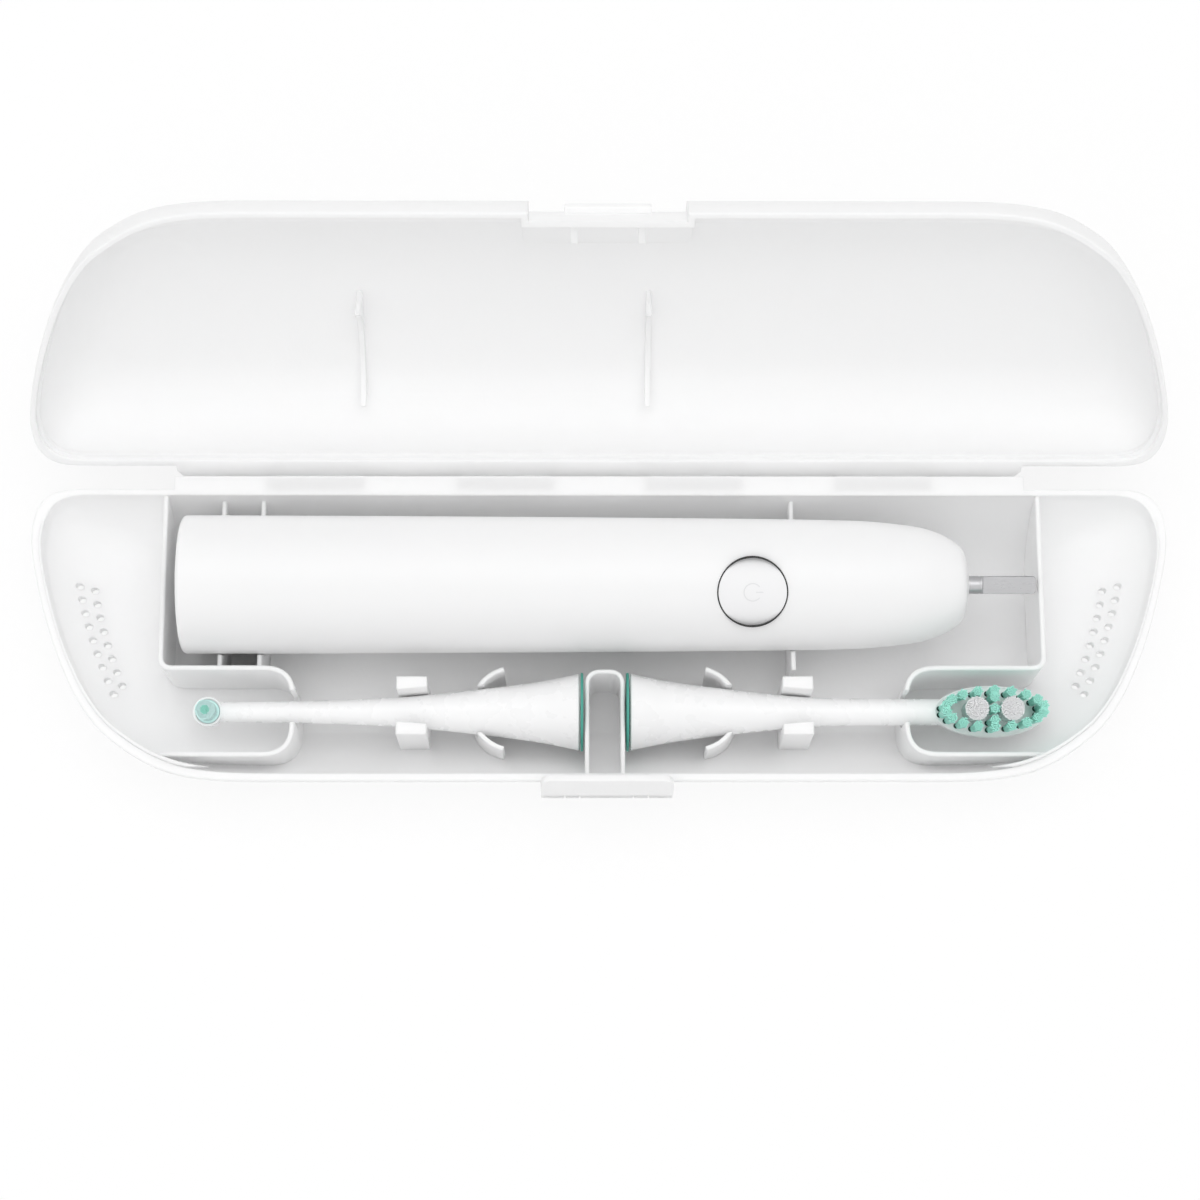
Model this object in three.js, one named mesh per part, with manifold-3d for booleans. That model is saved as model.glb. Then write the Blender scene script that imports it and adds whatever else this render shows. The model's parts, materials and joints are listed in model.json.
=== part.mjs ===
// Open travel case for an electric toothbrush, with its sonic handle and two brush heads. Millimetres, +Z up.
// The origin is the middle of the base's underside. +X runs along the case to the right, +Y to its hinge.
import * as THREE from "three";
import { mergeVertices } from "three/addons/utils/BufferGeometryUtils.js";
import Module from "manifold-3d";

const wasm = await Module();
wasm.setup();

// Case halves
const endCompartment = 28.3;
const baseHeight = 22;
const lidDepth = 18;
const rimGap = 0.3;
const rimBand = 1.2;
const baseWall = 1.8;
const baseFloor = 1.8;
const baseEndInset = 26;
const baseSideInset = 13;
const lidWall = 1.5;
const lidEndInset = 14;
const lidFrontInset = 22;
const lidBackInset = 16;
const baseRoundShare = 1.5;
const lidRoundShare = 2;
const outlineShares = {
  frontStraight: 0.585, flankX: 0.855, flankY: -0.697, widestY: 0.658, backStraight: 0.912,
  frontPull: 0.14, flankPullIn: 0.107, flankPullOut: 0.118, sidePull: 0.175,
  cornerPullY: 0.317, cornerPullX: 0.05,
};
const flankAngle = THREE.MathUtils.degToRad(39);
const outlineSteps = 5;
const profileSteps = 5;

// Rim joint between the halves
const tongueOffset = 1.8;
const tongueThickness = 0.7;
const tongueHeight = 1.1;
const tongueBackGap = 7.5;
const tongueFrontGap = 3;
const rimWallBack = 1.5;
const rimWallFront = 1.75;
const rimWallDepth = 3;
const lidShelfEnds = 2.3;
const lidShelfFront = 3;
const lidShelfBack = 2.3;

// Hinge
const openAngle = THREE.MathUtils.degToRad(126.8);
const hingeSetback = 2.32;
const hingeCoverReach = 3.05;
const hingeCoverThickness = 0.7;
const hingeCoverChamfer = 0.4;
const hingeArmThickness = 0.85;
const knuckleRadius = 1.3;
const hingePinRadius = 0.5;
const knuckleCount = 9;
const knuckleGap = 0.4;
const hingeHalfLength = 94.6;
const pinInset = 0.8;
const hingeFlangeThickness = 1.1;
const flangeChamfer = 2.8;

// Clearances
const fit = 0.3;
const overrun = 2;

// Handle
const handleBackGap = 6.4;
const handleAxisDrop = 1.2;
const handleRadius = 15.3;
const handleLength = 173;
const handleRearGap = 3.95;
const handleWall = 1.8;
const handleRoll = THREE.MathUtils.degToRad(20.7);
const handleRearRound = 1;
const handleProfileShares = [
  [0.01, 1], [0.28, 0.99], [0.53, 0.973], [0.787, 0.945], [0.863, 0.924], [0.914, 0.873],
  [0.939, 0.832], [0.962, 0.755], [0.978, 0.668], [0.9895, 0.575], [0.9955, 0.485], [0.9985, 0.36],
];
const handleSides = 30;
const noseOpeningRadius = 3.7;
const noseWallLength = 2.2;

// End cap, seal and charging coil
const handleRimWidth = 2;
const capCrown = 0.7;
const capDiscLength = 3.4;
const capLip = 0.8;
const capSpigotLength = 9.2;
const capCoreRadius = 5.2;
const capCoreLength = 18;
const chargerRecessRadius = 3.6;
const chargerRecessLength = 14;
const sealWidth = 1.6;
const sealThickness = 1.2;
const sealBack = 5;
const bobbinLength = 7.4;
const bobbinFlange = 0.9;
const bobbinMargin = 0.4;
const bobbinWall = 1;
const coilThickness = 3.6;

// Power train
const batteryRadius = 7;
const batteryLength = 50;
const batteryGap = 1;
const chassisWall = 0.9;
const chassisStart = 23.9;
const chassisNoseReach = 35.9;
const bulkheadThickness = 1.6;
const boardThickness = 1;
const boardEdgeGap = 1.3;
const switchSize = 6;
const switchHeight = 1.6;
const switchBodyShare = 0.8;
const membraneRadius = 5.4;
const membraneThickness = 0.6;
const motorLength = 24;
const motorWall = 1.4;
const damperLength = 4;
const damperSetback = 8;
const damperThickness = 2.4;
const statorThickness = 3.2;
const rotorLength = 14;
const shaftRadius = 2;
const shaftReach = 15.4;
const shaftTipGap = 0.55;
const shaftFlatLength = 11.7;
const shaftFlatDepth = 1.25;
const shaftTipRound = 0.6;
const shaftSealRadius = 6.3;
const shaftSealLength = 3.4;
const shaftSealWall = 0.9;
const bushingRadius = 3.4;
const bushingLength = 3;

// Button
const buttonNoseReach = 48.1;
const buttonRadius = 7.4;
const buttonThickness = 2.1;
const buttonStemRadius = 2.2;
const buttonTravel = 0.6;

// Brush heads
const headBackGap = 3.45;
const headFrontGap = 8.05;
const headAxisDrop = 7.5;
const headBigRadius = 8.7;
const headConeLength = 46;
const headConeShares = [
  [0, 1], [0.2, 0.785], [0.4, 0.635], [0.58, 0.528], [0.75, 0.432], [0.9, 0.37], [1, 0.35],
];
const headRingThickness = 0.6;
const headRingWall = 1.5;
const headRootGap = 0.35;
const neckOverlap = 2.4;
const headRoll = THREE.MathUtils.degToRad(7);
const leftHeadReach = 82.7;
const leftNeckTipRadius = 2.2;
const leftDiscRadius = 3.3;
const leftDiscThickness = 4;
const rightHeadReach = 80.2;
const rightNeckTipRadius = 2.9;
const rightPlateHalfLength = 12.4;
const rightPlateHalfWidth = 5.7;
const rightPlateThickness = 4;
const socketRadius = 6.2;
const socketDepth = 6;
const couplingRadius = 4;
const couplingLength = 10;
const couplingBore = 2.4;

// Bristles
const bristleSlice = 0.8;
const bristleLength = 9;
const tealStrandRadius = 0.2;
const whiteStrandRadius = 0.21;
const tealTuftRadius = 1.05;
const tealTuftCount = 18;
const tealTuftStrands = 7;
const middleTuftCount = 3;
const middleTuftPitch = 2.5;
const whiteTuftRadius = 2.3;
const whiteTuftStrands = 44;
const whiteTuftSpacing = 7.8;
const leftTuftRadius = 2.1;
const leftTuftStrands = 66;
const leftBristleLength = 5.5;
const strandSides = 3;
const sliceMargin = 0.35;

// Walls inside the base
const wallDrop = 0.6;
const dividerWall = 1.1;
const leftDividerInset = 1.2;
const plateEndReach = 1;
const pocketEndGap = 6.4;
const pocketBackGap = 3.6;
const pocketFrontReach = 10.7;
const pocketRound = 6;
const dividerRound = 2.6;
const notchRadius = 3.6;
const middleX = 1.1;
const channelHalfWidth = 4.35;
const channelWall = 0.9;
const channelBackGap = 0.4;
const channelRound = 3.4;
const clipOffsetX = 42.3;
const clipLength = 6.7;
const clipHalfWidth = 6.5;
const cradleOffsetX = 20;
const cradleRadius = 9.15;
const cradleWall = 1;
const cradleDrop = 3.4;
const cradleSweep = THREE.MathUtils.degToRad(76);
const ribThickness = 1;
const ribDrop = 3;
const ribShares = [0.0474, 0.0979, 0.7783];

// Air holes
const ventRadius = 0.75;
const ventSides = 6;
const outerVentCount = 9;
const innerVentCount = 8;
const outerVentShares = { x0: 0.926, y0: 0.404, x1: 0.857, y1: -0.353, bow: 0.007 };
const innerVentShares = { x0: 0.902, y0: 0.391, x1: 0.8455, y1: -0.281, bow: 0.0055 };

// Latch
const latchMiddleX = 1.5;
const latchHalfWidth = 14.3;
const latchPivotProud = 1.7;
const latchPivotDrop = 4.6;
const latchBarrelRadius = 1.3;
const latchPinRadius = 0.5;
const latchPlateThickness = 1.4;
const latchPlateProud = 2.5;
const latchRise = 8.3;
const latchLean = 2.7;
const latchCorner = 2.4;
const latchRestAngle = THREE.MathUtils.degToRad(8);
const lugThickness = 3;
const lugSpacing = 15;
const hookGap = 0.4;
const hookHeight = 1.4;
const hookEngagement = 0.7;
const ridgeBottom = 4.4;
const ridgeHeight = 1.6;
const ridgeProud = 1.1;
const ridgeHalfWidth = 9.25;
const recessSideGap = 2.5;
const recessEndTurn = THREE.MathUtils.degToRad(64);
const recessDepth = 2.1;
const gussetOffsetX = 7.15;
const gussetThickness = 1.6;
const gussetReach = 4.8;
const gussetRise = 8;

// Ribs inside the lid
const lidRibShares = [0.2253, 0.5933];
const lidRibThickness = 1.2;
const lidRibBackReach = 12.1;
const lidRibFrontReach = 14.2;
const lidRibClearance = 1;
const lidRibBottom = 6;

// Places worked out from the sizes above
const rimZ = baseHeight;
const leftHeadRootX = middleX - channelHalfWidth - headRootGap;
const rightHeadRootX = middleX + channelHalfWidth + headRootGap;
const leftDiscX = leftHeadRootX - leftHeadReach;
const rightPlateX = rightHeadRootX + rightHeadReach;
const bayLength = handleRearGap + handleLength + shaftReach + shaftTipGap;
const dividerX = Math.max(
  (bayLength + dividerWall + leftDividerInset) / 2, rightPlateX + rightPlateHalfLength - plateEndReach);
const leftDividerX = dividerX - leftDividerInset;
const caseHalfLength = dividerX + endCompartment;
const caseHalfWidth = (handleBackGap + 2 * handleRadius + headBackGap + 2 * headBigRadius + headFrontGap) / 2;
const handleAxisY = caseHalfWidth - handleBackGap - handleRadius;
const headAxisY = headFrontGap + headBigRadius - caseHalfWidth;
const hingeY = caseHalfWidth + hingeSetback;
const hingeZ = rimZ - hingeCoverThickness - fit - knuckleRadius;
const hingeCoverY = caseHalfWidth + hingeCoverReach;
const hingeFlangeY = hingeCoverY + fit + hingeArmThickness;
const handleAxisZ = rimZ - handleAxisDrop;
const headAxisZ = rimZ - headAxisDrop;
const wallTopZ = rimZ - wallDrop;
const wallRootZ = baseFloor / 2;
const handleRearX = -leftDividerX + dividerWall / 2 + handleRearGap;
const noseX = handleRearX + handleLength;
const buttonX = noseX - buttonNoseReach;
const chassisRearX = handleRearX + chassisStart;
const chassisFrontX = noseX - chassisNoseReach;
const motorFrontX = chassisFrontX + fit + motorLength;
const pocketX = rightPlateX - rightPlateHalfLength - pocketEndGap;
const pocketFrontY = headAxisY - pocketFrontReach;
const pocketBackY = handleAxisY - handleRadius - pocketBackGap;
const channelBackY = pocketBackY - channelBackGap;
const latchPivotY = -caseHalfWidth - latchPivotProud;
const latchPivotZ = rimZ - latchPivotDrop;
const latchPlateInY = -caseHalfWidth - latchPlateProud + latchPlateThickness;
const recessHalfWidth = latchHalfWidth + recessSideGap;
const recessFloorY = -caseHalfWidth + recessDepth;
const ridgeFaceY = recessFloorY - ridgeProud;

// Heights across the handle, from its axis up to the button and down to the battery
const buttonBottom = handleRadius - buttonThickness - handleWall / 2;
const membraneBottom = buttonBottom - 2 * buttonTravel - fit - membraneThickness;
const boardTop = membraneBottom - 2 * fit - switchHeight;
const batteryAxis = boardTop - boardThickness - batteryGap - batteryRadius;
const capRadius = handleRadius - handleRimWidth - fit;
const capSpigotRadius = capRadius - capLip;
const bobbinStartX = handleRearX + capDiscLength + capSpigotLength + fit;

// Facets of round pieces and steps along curves
const smallSides = 10;
const innerSides = 18;
const pinSides = 12;
const buttonSides = 28;
const headSides = 22;
const cornerSteps = 4;
const cradleSteps = 6;
const plateSteps = 10;
const latchSteps = 5;
const mergeTolerance = 1e-5;

// Materials
function finish(color, roughness, metalness = 0) {
  return new THREE.MeshStandardMaterial({ color, roughness, metalness });
}

const casePlastic = finish(0xf4f5f5, 0.42);
const handlePlastic = finish(0xfafafa, 0.34);
const buttonRubber = finish(0xf7f7f8, 0.5);
const headPlastic = finish(0xfbfbfb, 0.3);
const tealPlastic = finish(0x8fdccb, 0.4);
const tealNylon = finish(0x7fd3c4, 0.5);
const whiteNylon = finish(0xfcfcfa, 0.5);
const steel = finish(0xb9bbbd, 0.25, 1);
const blackRubber = finish(0x2b2c2e, 0.7);
const innerPlastic = finish(0xd9dadb, 0.5);
const copper = finish(0xb4693a, 0.35, 1);
const cellWrap = finish(0x4f7fae, 0.45);
const boardGreen = finish(0x2f6b45, 0.5);
const magnetGrey = finish(0x6d6f73, 0.4, 1);

// Turns a closed three.js geometry into a solid, with its faces pointing out
function solidOf(geometry) {
  const bare = geometry.clone();
  bare.deleteAttribute("normal");
  bare.deleteAttribute("uv");
  const merged = mergeVertices(bare, mergeTolerance);
  const place = merged.getAttribute("position");
  const corners = merged.index.array;
  const kept = [];
  let volume = 0;
  const a = new THREE.Vector3();
  const b = new THREE.Vector3();
  const c = new THREE.Vector3();
  for (let i = 0; i < corners.length; i += 3) {
    const [p, q, r] = [corners[i], corners[i + 1], corners[i + 2]];
    if (p === q || q === r || r === p) continue;
    kept.push(p, q, r);
    a.fromBufferAttribute(place, p);
    b.fromBufferAttribute(place, q);
    c.fromBufferAttribute(place, r);
    volume += a.dot(b.cross(c));
  }
  if (volume < 0) kept.reverse();
  return new wasm.Manifold(new wasm.Mesh({
    numProp: 3,
    vertProperties: new Float32Array(place.array),
    triVerts: new Uint32Array(kept),
  }));
}

function unionOf(solids) {
  return solids.reduce((sum, next) => sum.add(next));
}

function box(x0, x1, y0, y1, z0, z1) {
  const geometry = new THREE.BoxGeometry(x1 - x0, y1 - y0, z1 - z0);
  geometry.translate((x0 + x1) / 2, (y0 + y1) / 2, (z0 + z1) / 2);
  return solidOf(geometry);
}

// A solid of revolution about a line along X, from a profile of [x, radius]
function latheX(profile, sides, y = 0, z = 0) {
  const geometry = new THREE.LatheGeometry(profile.map(([x, r]) => new THREE.Vector2(r, x)), sides);
  geometry.rotateZ(-Math.PI / 2);
  geometry.translate(0, y, z);
  return solidOf(geometry);
}

function rodX(radius, x0, x1, y = 0, z = 0, sides = smallSides) {
  return latheX([[x0, 0], [x0, radius], [x1, radius], [x1, 0]], sides, y, z);
}

function rodZ(radius, z0, z1, x, y, sides = smallSides) {
  const geometry = new THREE.CylinderGeometry(radius, radius, z1 - z0, sides);
  geometry.rotateX(Math.PI / 2);
  geometry.translate(x, y, (z0 + z1) / 2);
  return solidOf(geometry);
}

// A ring of revolution about a line along X
function ringX(inner, outer, x0, x1, sides, y = 0, z = 0) {
  return latheX([[x0, inner], [x0, outer], [x1, outer], [x1, inner], [x0, inner]], sides, y, z);
}

// Prisms of a flat shape along Z, X and Y
function prismZ(shape, z0, z1, curveSegments = cornerSteps) {
  const geometry = new THREE.ExtrudeGeometry(shape, { depth: z1 - z0, bevelEnabled: false, curveSegments });
  geometry.translate(0, 0, z0);
  return solidOf(geometry);
}

function prismX(shape, x0, x1, curveSegments = cornerSteps) {
  const geometry = new THREE.ExtrudeGeometry(shape, { depth: x1 - x0, bevelEnabled: false, curveSegments });
  const turn = new THREE.Matrix4().makeBasis(
    new THREE.Vector3(0, 1, 0), new THREE.Vector3(0, 0, 1), new THREE.Vector3(1, 0, 0));
  geometry.applyMatrix4(turn);
  geometry.translate(x0, 0, 0);
  return solidOf(geometry);
}

function prismY(shape, y0, y1, curveSegments = cornerSteps) {
  const geometry = new THREE.ExtrudeGeometry(shape, { depth: y1 - y0, bevelEnabled: false, curveSegments });
  const turn = new THREE.Matrix4().makeBasis(
    new THREE.Vector3(1, 0, 0), new THREE.Vector3(0, 0, 1), new THREE.Vector3(0, -1, 0));
  geometry.applyMatrix4(turn);
  geometry.translate(0, y1, 0);
  return solidOf(geometry);
}

function roundedRectangle(x0, x1, y0, y1, r) {
  const shape = new THREE.Shape();
  shape.moveTo(x0 + r, y0);
  shape.lineTo(x1 - r, y0);
  shape.quadraticCurveTo(x1, y0, x1, y0 + r);
  shape.lineTo(x1, y1 - r);
  shape.quadraticCurveTo(x1, y1, x1 - r, y1);
  shape.lineTo(x0 + r, y1);
  shape.quadraticCurveTo(x0, y1, x0, y1 - r);
  shape.lineTo(x0, y0 + r);
  shape.quadraticCurveTo(x0, y0, x0 + r, y0);
  return shape;
}

function mirrored(solid) {
  return solid.mirror([1, 0, 0]);
}

function part(name, solid, material) {
  const mesh = solid.getMesh();
  const geometry = new THREE.BufferGeometry();
  geometry.setAttribute("position", new THREE.Float32BufferAttribute(mesh.vertProperties, 3));
  geometry.setIndex(new THREE.Uint32BufferAttribute(mesh.triVerts, 1));
  geometry.computeVertexNormals();
  const node = new THREE.Mesh(geometry, material);
  node.name = name;
  return node;
}

// The case's plan outline: straight back and front, slanting flanks, round back corners
function caseOutline() {
  const s = outlineShares;
  const hl = caseHalfLength;
  const hw = caseHalfWidth;
  const flank = new THREE.Vector2(hl * s.flankX, hw * s.flankY);
  const lean = new THREE.Vector2(Math.cos(flankAngle), Math.sin(flankAngle)).multiplyScalar(hl);
  const path = new THREE.Path();
  path.moveTo(hl * s.frontStraight, -hw);
  path.bezierCurveTo(
    hl * (s.frontStraight + s.frontPull), -hw,
    flank.x - lean.x * s.flankPullIn, flank.y - lean.y * s.flankPullIn, flank.x, flank.y);
  path.bezierCurveTo(
    flank.x + lean.x * s.flankPullOut, flank.y + lean.y * s.flankPullOut,
    hl, hw * (s.widestY - s.sidePull), hl, hw * s.widestY);
  path.bezierCurveTo(
    hl, hw * (s.widestY + s.cornerPullY),
    hl * (s.backStraight + s.cornerPullX), hw, hl * s.backStraight, hw);
  const right = path.getPoints(outlineSteps);
  const left = right.map((point) => new THREE.Vector2(-point.x, point.y)).reverse();
  return right.concat(left);
}

const outline = caseOutline();

// The outline's outward directions, each square to the line between its neighbours
const outward = outline.map((point, i) => {
  const before = outline[(i + outline.length - 1) % outline.length];
  const after = outline[(i + 1) % outline.length];
  return new THREE.Vector2(after.y - before.y, before.x - after.x).normalize();
});

// A solid through rings that follow the plan outline, from the lowest ring to the highest
function loft(rings) {
  const count = outline.length;
  const positions = [];
  for (const ring of rings) {
    for (const point of ring.points) positions.push(point.x, point.y, ring.z);
  }
  const indices = [];
  for (let level = 0; level < rings.length - 1; level += 1) {
    for (let i = 0; i < count; i += 1) {
      const a = level * count + i;
      const b = level * count + (i + 1) % count;
      indices.push(a, b, b + count, a, b + count, a + count);
    }
  }
  const first = positions.length / 3;
  const last = first + 1;
  const top = rings[rings.length - 1];
  positions.push(0, 0, rings[0].z, 0, 0, top.z);
  const topRow = (rings.length - 1) * count;
  for (let i = 0; i < count; i += 1) {
    const next = (i + 1) % count;
    indices.push(first, next, i, last, topRow + i, topRow + next);
  }
  const geometry = new THREE.BufferGeometry();
  geometry.setAttribute("position", new THREE.Float32BufferAttribute(positions, 3));
  geometry.setIndex(indices);
  return solidOf(geometry);
}

// One ring of the outline, scaled in by a length at the ends, the front and the back
function ringAt(z, ends, front, back = front) {
  const scaleX = 1 - ends / caseHalfLength;
  const scaleY = 1 - (front + back) / 2 / caseHalfWidth;
  const shiftY = (front - back) / 2;
  const points = outline.map((point) => new THREE.Vector2(point.x * scaleX, point.y * scaleY + shiftY));
  return { z, points };
}

// One ring of the outline, drawn in square to itself, least at the corners, so that they stay full
function drawnRing(z, inset, ends, front, back) {
  const points = outline.map((point, i) => {
    const way = outward[i];
    const side = way.y < 0 ? front : back;
    const drawn = inset + ends * way.x ** 4 + side * way.y ** 4;
    return point.clone().addScaledVector(way, -drawn);
  });
  return { z, points };
}

// The rounded rise of a case half: a vertical band at the rim, then a superellipse to the flat face
function roundedRise(roundShare, rise) {
  const steps = [];
  for (let i = 0; i <= profileSteps; i += 1) {
    const angle = (i / profileSteps) * Math.PI / 2;
    const power = 2 / roundShare;
    steps.push({ drawn: 1 - Math.cos(angle) ** power, rise: rise * Math.sin(angle) ** power });
  }
  return steps;
}

function baseOuter(inset = 0, floor = 0) {
  const steps = roundedRise(baseRoundShare, baseHeight - rimBand - floor);
  const bandZ = rimZ - rimBand;
  const rings = steps.map((step) => ringAt(
    bandZ - step.rise, baseEndInset * step.drawn + inset, baseSideInset * step.drawn + inset));
  rings.reverse();
  return rings;
}

function lidOuter(inset = 0, roof = 0) {
  const bandZ = rimZ + rimGap + rimBand;
  return roundedRise(lidRoundShare, lidDepth - rimBand - roof).map(({ drawn, rise }) => drawnRing(
    bandZ + rise, inset, lidEndInset * drawn, lidFrontInset * drawn, lidBackInset * drawn));
}

// The lid's plan at its rim, drawn in by a wall
function lidMouth(z, inset) {
  return drawnRing(z, inset, 0, 0, 0);
}

// Walls inside the base
function basinShape(grow, endX) {
  const x0 = pocketX + dividerWall / 2 - grow;
  const x1 = endX + dividerWall / 2 - grow;
  const far = caseHalfLength + overrun;
  const yBack = pocketBackY - dividerWall / 2 + grow;
  const yFront = pocketFrontY + dividerWall / 2 - grow;
  const shape = new THREE.Shape();
  const round = pocketRound + grow;
  const inner = dividerRound - grow;
  shape.moveTo(x0 + round, yFront);
  shape.lineTo(x1, yFront);
  shape.lineTo(x1, -caseHalfWidth - overrun);
  shape.lineTo(far, -caseHalfWidth - overrun);
  shape.lineTo(far, caseHalfWidth + overrun);
  shape.lineTo(x1, caseHalfWidth + overrun);
  shape.lineTo(x1, yBack + inner);
  shape.quadraticCurveTo(x1, yBack, x1 - inner, yBack);
  shape.lineTo(x0 + round, yBack);
  shape.quadraticCurveTo(x0, yBack, x0, yBack - round);
  shape.lineTo(x0, yFront + round);
  shape.quadraticCurveTo(x0, yFront, x0 + round, yFront);
  return shape;
}

function basinWall(endX) {
  const grown = prismZ(basinShape(dividerWall, endX), wallRootZ, wallTopZ);
  const hollow = prismZ(basinShape(0, endX), -overrun, wallTopZ + overrun);
  const wall = grown.subtract(hollow);
  const notch = rodX(notchRadius, pocketX - overrun, pocketX + overrun, headAxisY, headAxisZ)
    .add(box(pocketX - overrun, pocketX + overrun, headAxisY - notchRadius, headAxisY + notchRadius,
      headAxisZ, rimZ + overrun));
  return wall.subtract(notch);
}

function channelShape(shrink) {
  const x0 = middleX - channelHalfWidth + shrink;
  const x1 = middleX + channelHalfWidth - shrink;
  const yBack = channelBackY - shrink;
  const round = channelRound - shrink;
  const yFront = -caseHalfWidth - overrun;
  const shape = new THREE.Shape();
  shape.moveTo(x0, yFront);
  shape.lineTo(x1, yFront);
  shape.lineTo(x1, yBack - round);
  shape.quadraticCurveTo(x1, yBack, x1 - round, yBack);
  shape.lineTo(x0 + round, yBack);
  shape.quadraticCurveTo(x0, yBack, x0, yBack - round);
  return shape;
}

function channelDivider() {
  const solid = prismZ(channelShape(0), wallRootZ, wallTopZ);
  return solid.subtract(prismZ(channelShape(channelWall), -overrun, wallTopZ + overrun));
}

function neckClip(side) {
  const x = middleX + side * clipOffsetX;
  const rootX = side > 0 ? rightHeadRootX : leftHeadRootX;
  const half = clipLength / 2;
  const block = box(x - half, x + half, headAxisY - clipHalfWidth, headAxisY + clipHalfWidth,
    wallRootZ, rimZ);
  return block.subtract(coneClearance(rootX, side, fit));
}

// The head's cone with a length added all round, and the room above it
function coneClearance(rootX, side, grow) {
  const profile = headConeShares.map(([along, wide]) => [
    rootX + side * along * headConeLength, wide * headBigRadius + grow]);
  const ends = [[profile[0][0], 0], ...profile, [profile[profile.length - 1][0], 0]];
  const cone = latheX(ends, headSides, headAxisY, headAxisZ);
  const shape = new THREE.Shape();
  shape.moveTo(profile[0][0], headAxisY - profile[0][1]);
  for (const [x, r] of profile.slice(1)) shape.lineTo(x, headAxisY - r);
  for (const [x, r] of profile.slice().reverse()) shape.lineTo(x, headAxisY + r);
  return cone.add(prismZ(shape, headAxisZ, rimZ + overrun));
}

function cradleWallAt(side) {
  const x = middleX + side * cradleOffsetX;
  const middle = side > 0 ? 0 : Math.PI;
  const shape = new THREE.Shape();
  const outer = cradleRadius + cradleWall / 2;
  const inner = cradleRadius - cradleWall / 2;
  shape.absarc(x, headAxisY, outer, middle - cradleSweep, middle + cradleSweep, false);
  shape.absarc(x, headAxisY, inner, middle + cradleSweep, middle - cradleSweep, true);
  const wall = prismZ(shape, wallRootZ, rimZ - cradleDrop, cradleSteps);
  const rootX = side > 0 ? rightHeadRootX : leftHeadRootX;
  return wall.subtract(coneClearance(rootX, side, fit));
}

function handleRib(share) {
  const x = handleRearX + share * handleLength;
  const half = ribThickness / 2;
  return box(x - half, x + half, pocketBackY, caseHalfWidth, wallRootZ, rimZ - ribDrop);
}

function handleRibs() {
  const room = latheX(handleOuterProfile(fit), handleSides, handleAxisY, handleAxisZ);
  return unionOf(ribShares.map(handleRib)).subtract(room);
}

function ventColumn(line, count) {
  const holes = [];
  for (let i = 0; i < count; i += 1) {
    const share = i / (count - 1);
    const bow = line.bow * 4 * share * (1 - share);
    const x = (line.x0 + (line.x1 - line.x0) * share + bow) * caseHalfLength;
    const y = (line.y0 + (line.y1 - line.y0) * share) * caseHalfWidth;
    holes.push(rodZ(ventRadius, -overrun, rimZ + overrun, x, y, ventSides));
  }
  return holes;
}

function vents() {
  const right = unionOf([
    ...ventColumn(outerVentShares, outerVentCount), ...ventColumn(innerVentShares, innerVentCount)]);
  return right.add(mirrored(right));
}

function tongue() {
  const z0 = rimZ - rimBand / 2;
  const z1 = rimZ + tongueHeight;
  const outer = loft([ringAt(z0, tongueOffset, tongueOffset), ringAt(z1, tongueOffset, tongueOffset)]);
  const inset = tongueOffset + tongueThickness;
  const inner = loft([ringAt(z0 - overrun, inset, inset), ringAt(z1 + overrun, inset, inset)]);
  const endsOnly = box(-caseHalfLength, caseHalfLength,
    -caseHalfWidth + tongueFrontGap, caseHalfWidth - tongueBackGap, z0, z1);
  return outer.subtract(inner).intersect(endsOnly);
}

// Every other knuckle belongs to the base, the rest to the lid
function knuckleSpans(first) {
  const pitch = 2 * hingeHalfLength / knuckleCount;
  const spans = [];
  for (let i = first; i < knuckleCount; i += 2) {
    const x0 = -hingeHalfLength + i * pitch;
    spans.push([x0 + knuckleGap / 2, x0 + pitch - knuckleGap / 2]);
  }
  return spans;
}

function pinBore() {
  return rodX(hingePinRadius + fit, -hingeHalfLength - overrun, hingeHalfLength + overrun, hingeY, hingeZ);
}

function baseKnuckles() {
  const wallY = caseHalfWidth - rimWallBack / 2;
  const coverZ = rimZ - hingeCoverThickness;
  const webs = knuckleSpans(0).map(([x0, x1]) => rodX(knuckleRadius, x0, x1, hingeY, hingeZ)
    .add(box(x0, x1, wallY, hingeY, hingeZ - knuckleRadius, coverZ)));
  return unionOf(webs).subtract(pinBore()).add(hingeCover());
}

// The strip that carries the base's rim on over all the knuckles, with its back edge broken
function hingeCover() {
  const section = new THREE.Shape();
  section.moveTo(caseHalfWidth - rimWallBack / 2, rimZ - hingeCoverThickness);
  section.lineTo(hingeCoverY, rimZ - hingeCoverThickness);
  section.lineTo(hingeCoverY, rimZ - hingeCoverChamfer);
  section.lineTo(hingeCoverY - hingeCoverChamfer, rimZ);
  section.lineTo(caseHalfWidth - rimWallBack / 2, rimZ);
  return prismX(section, -hingeHalfLength, hingeHalfLength);
}

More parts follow.
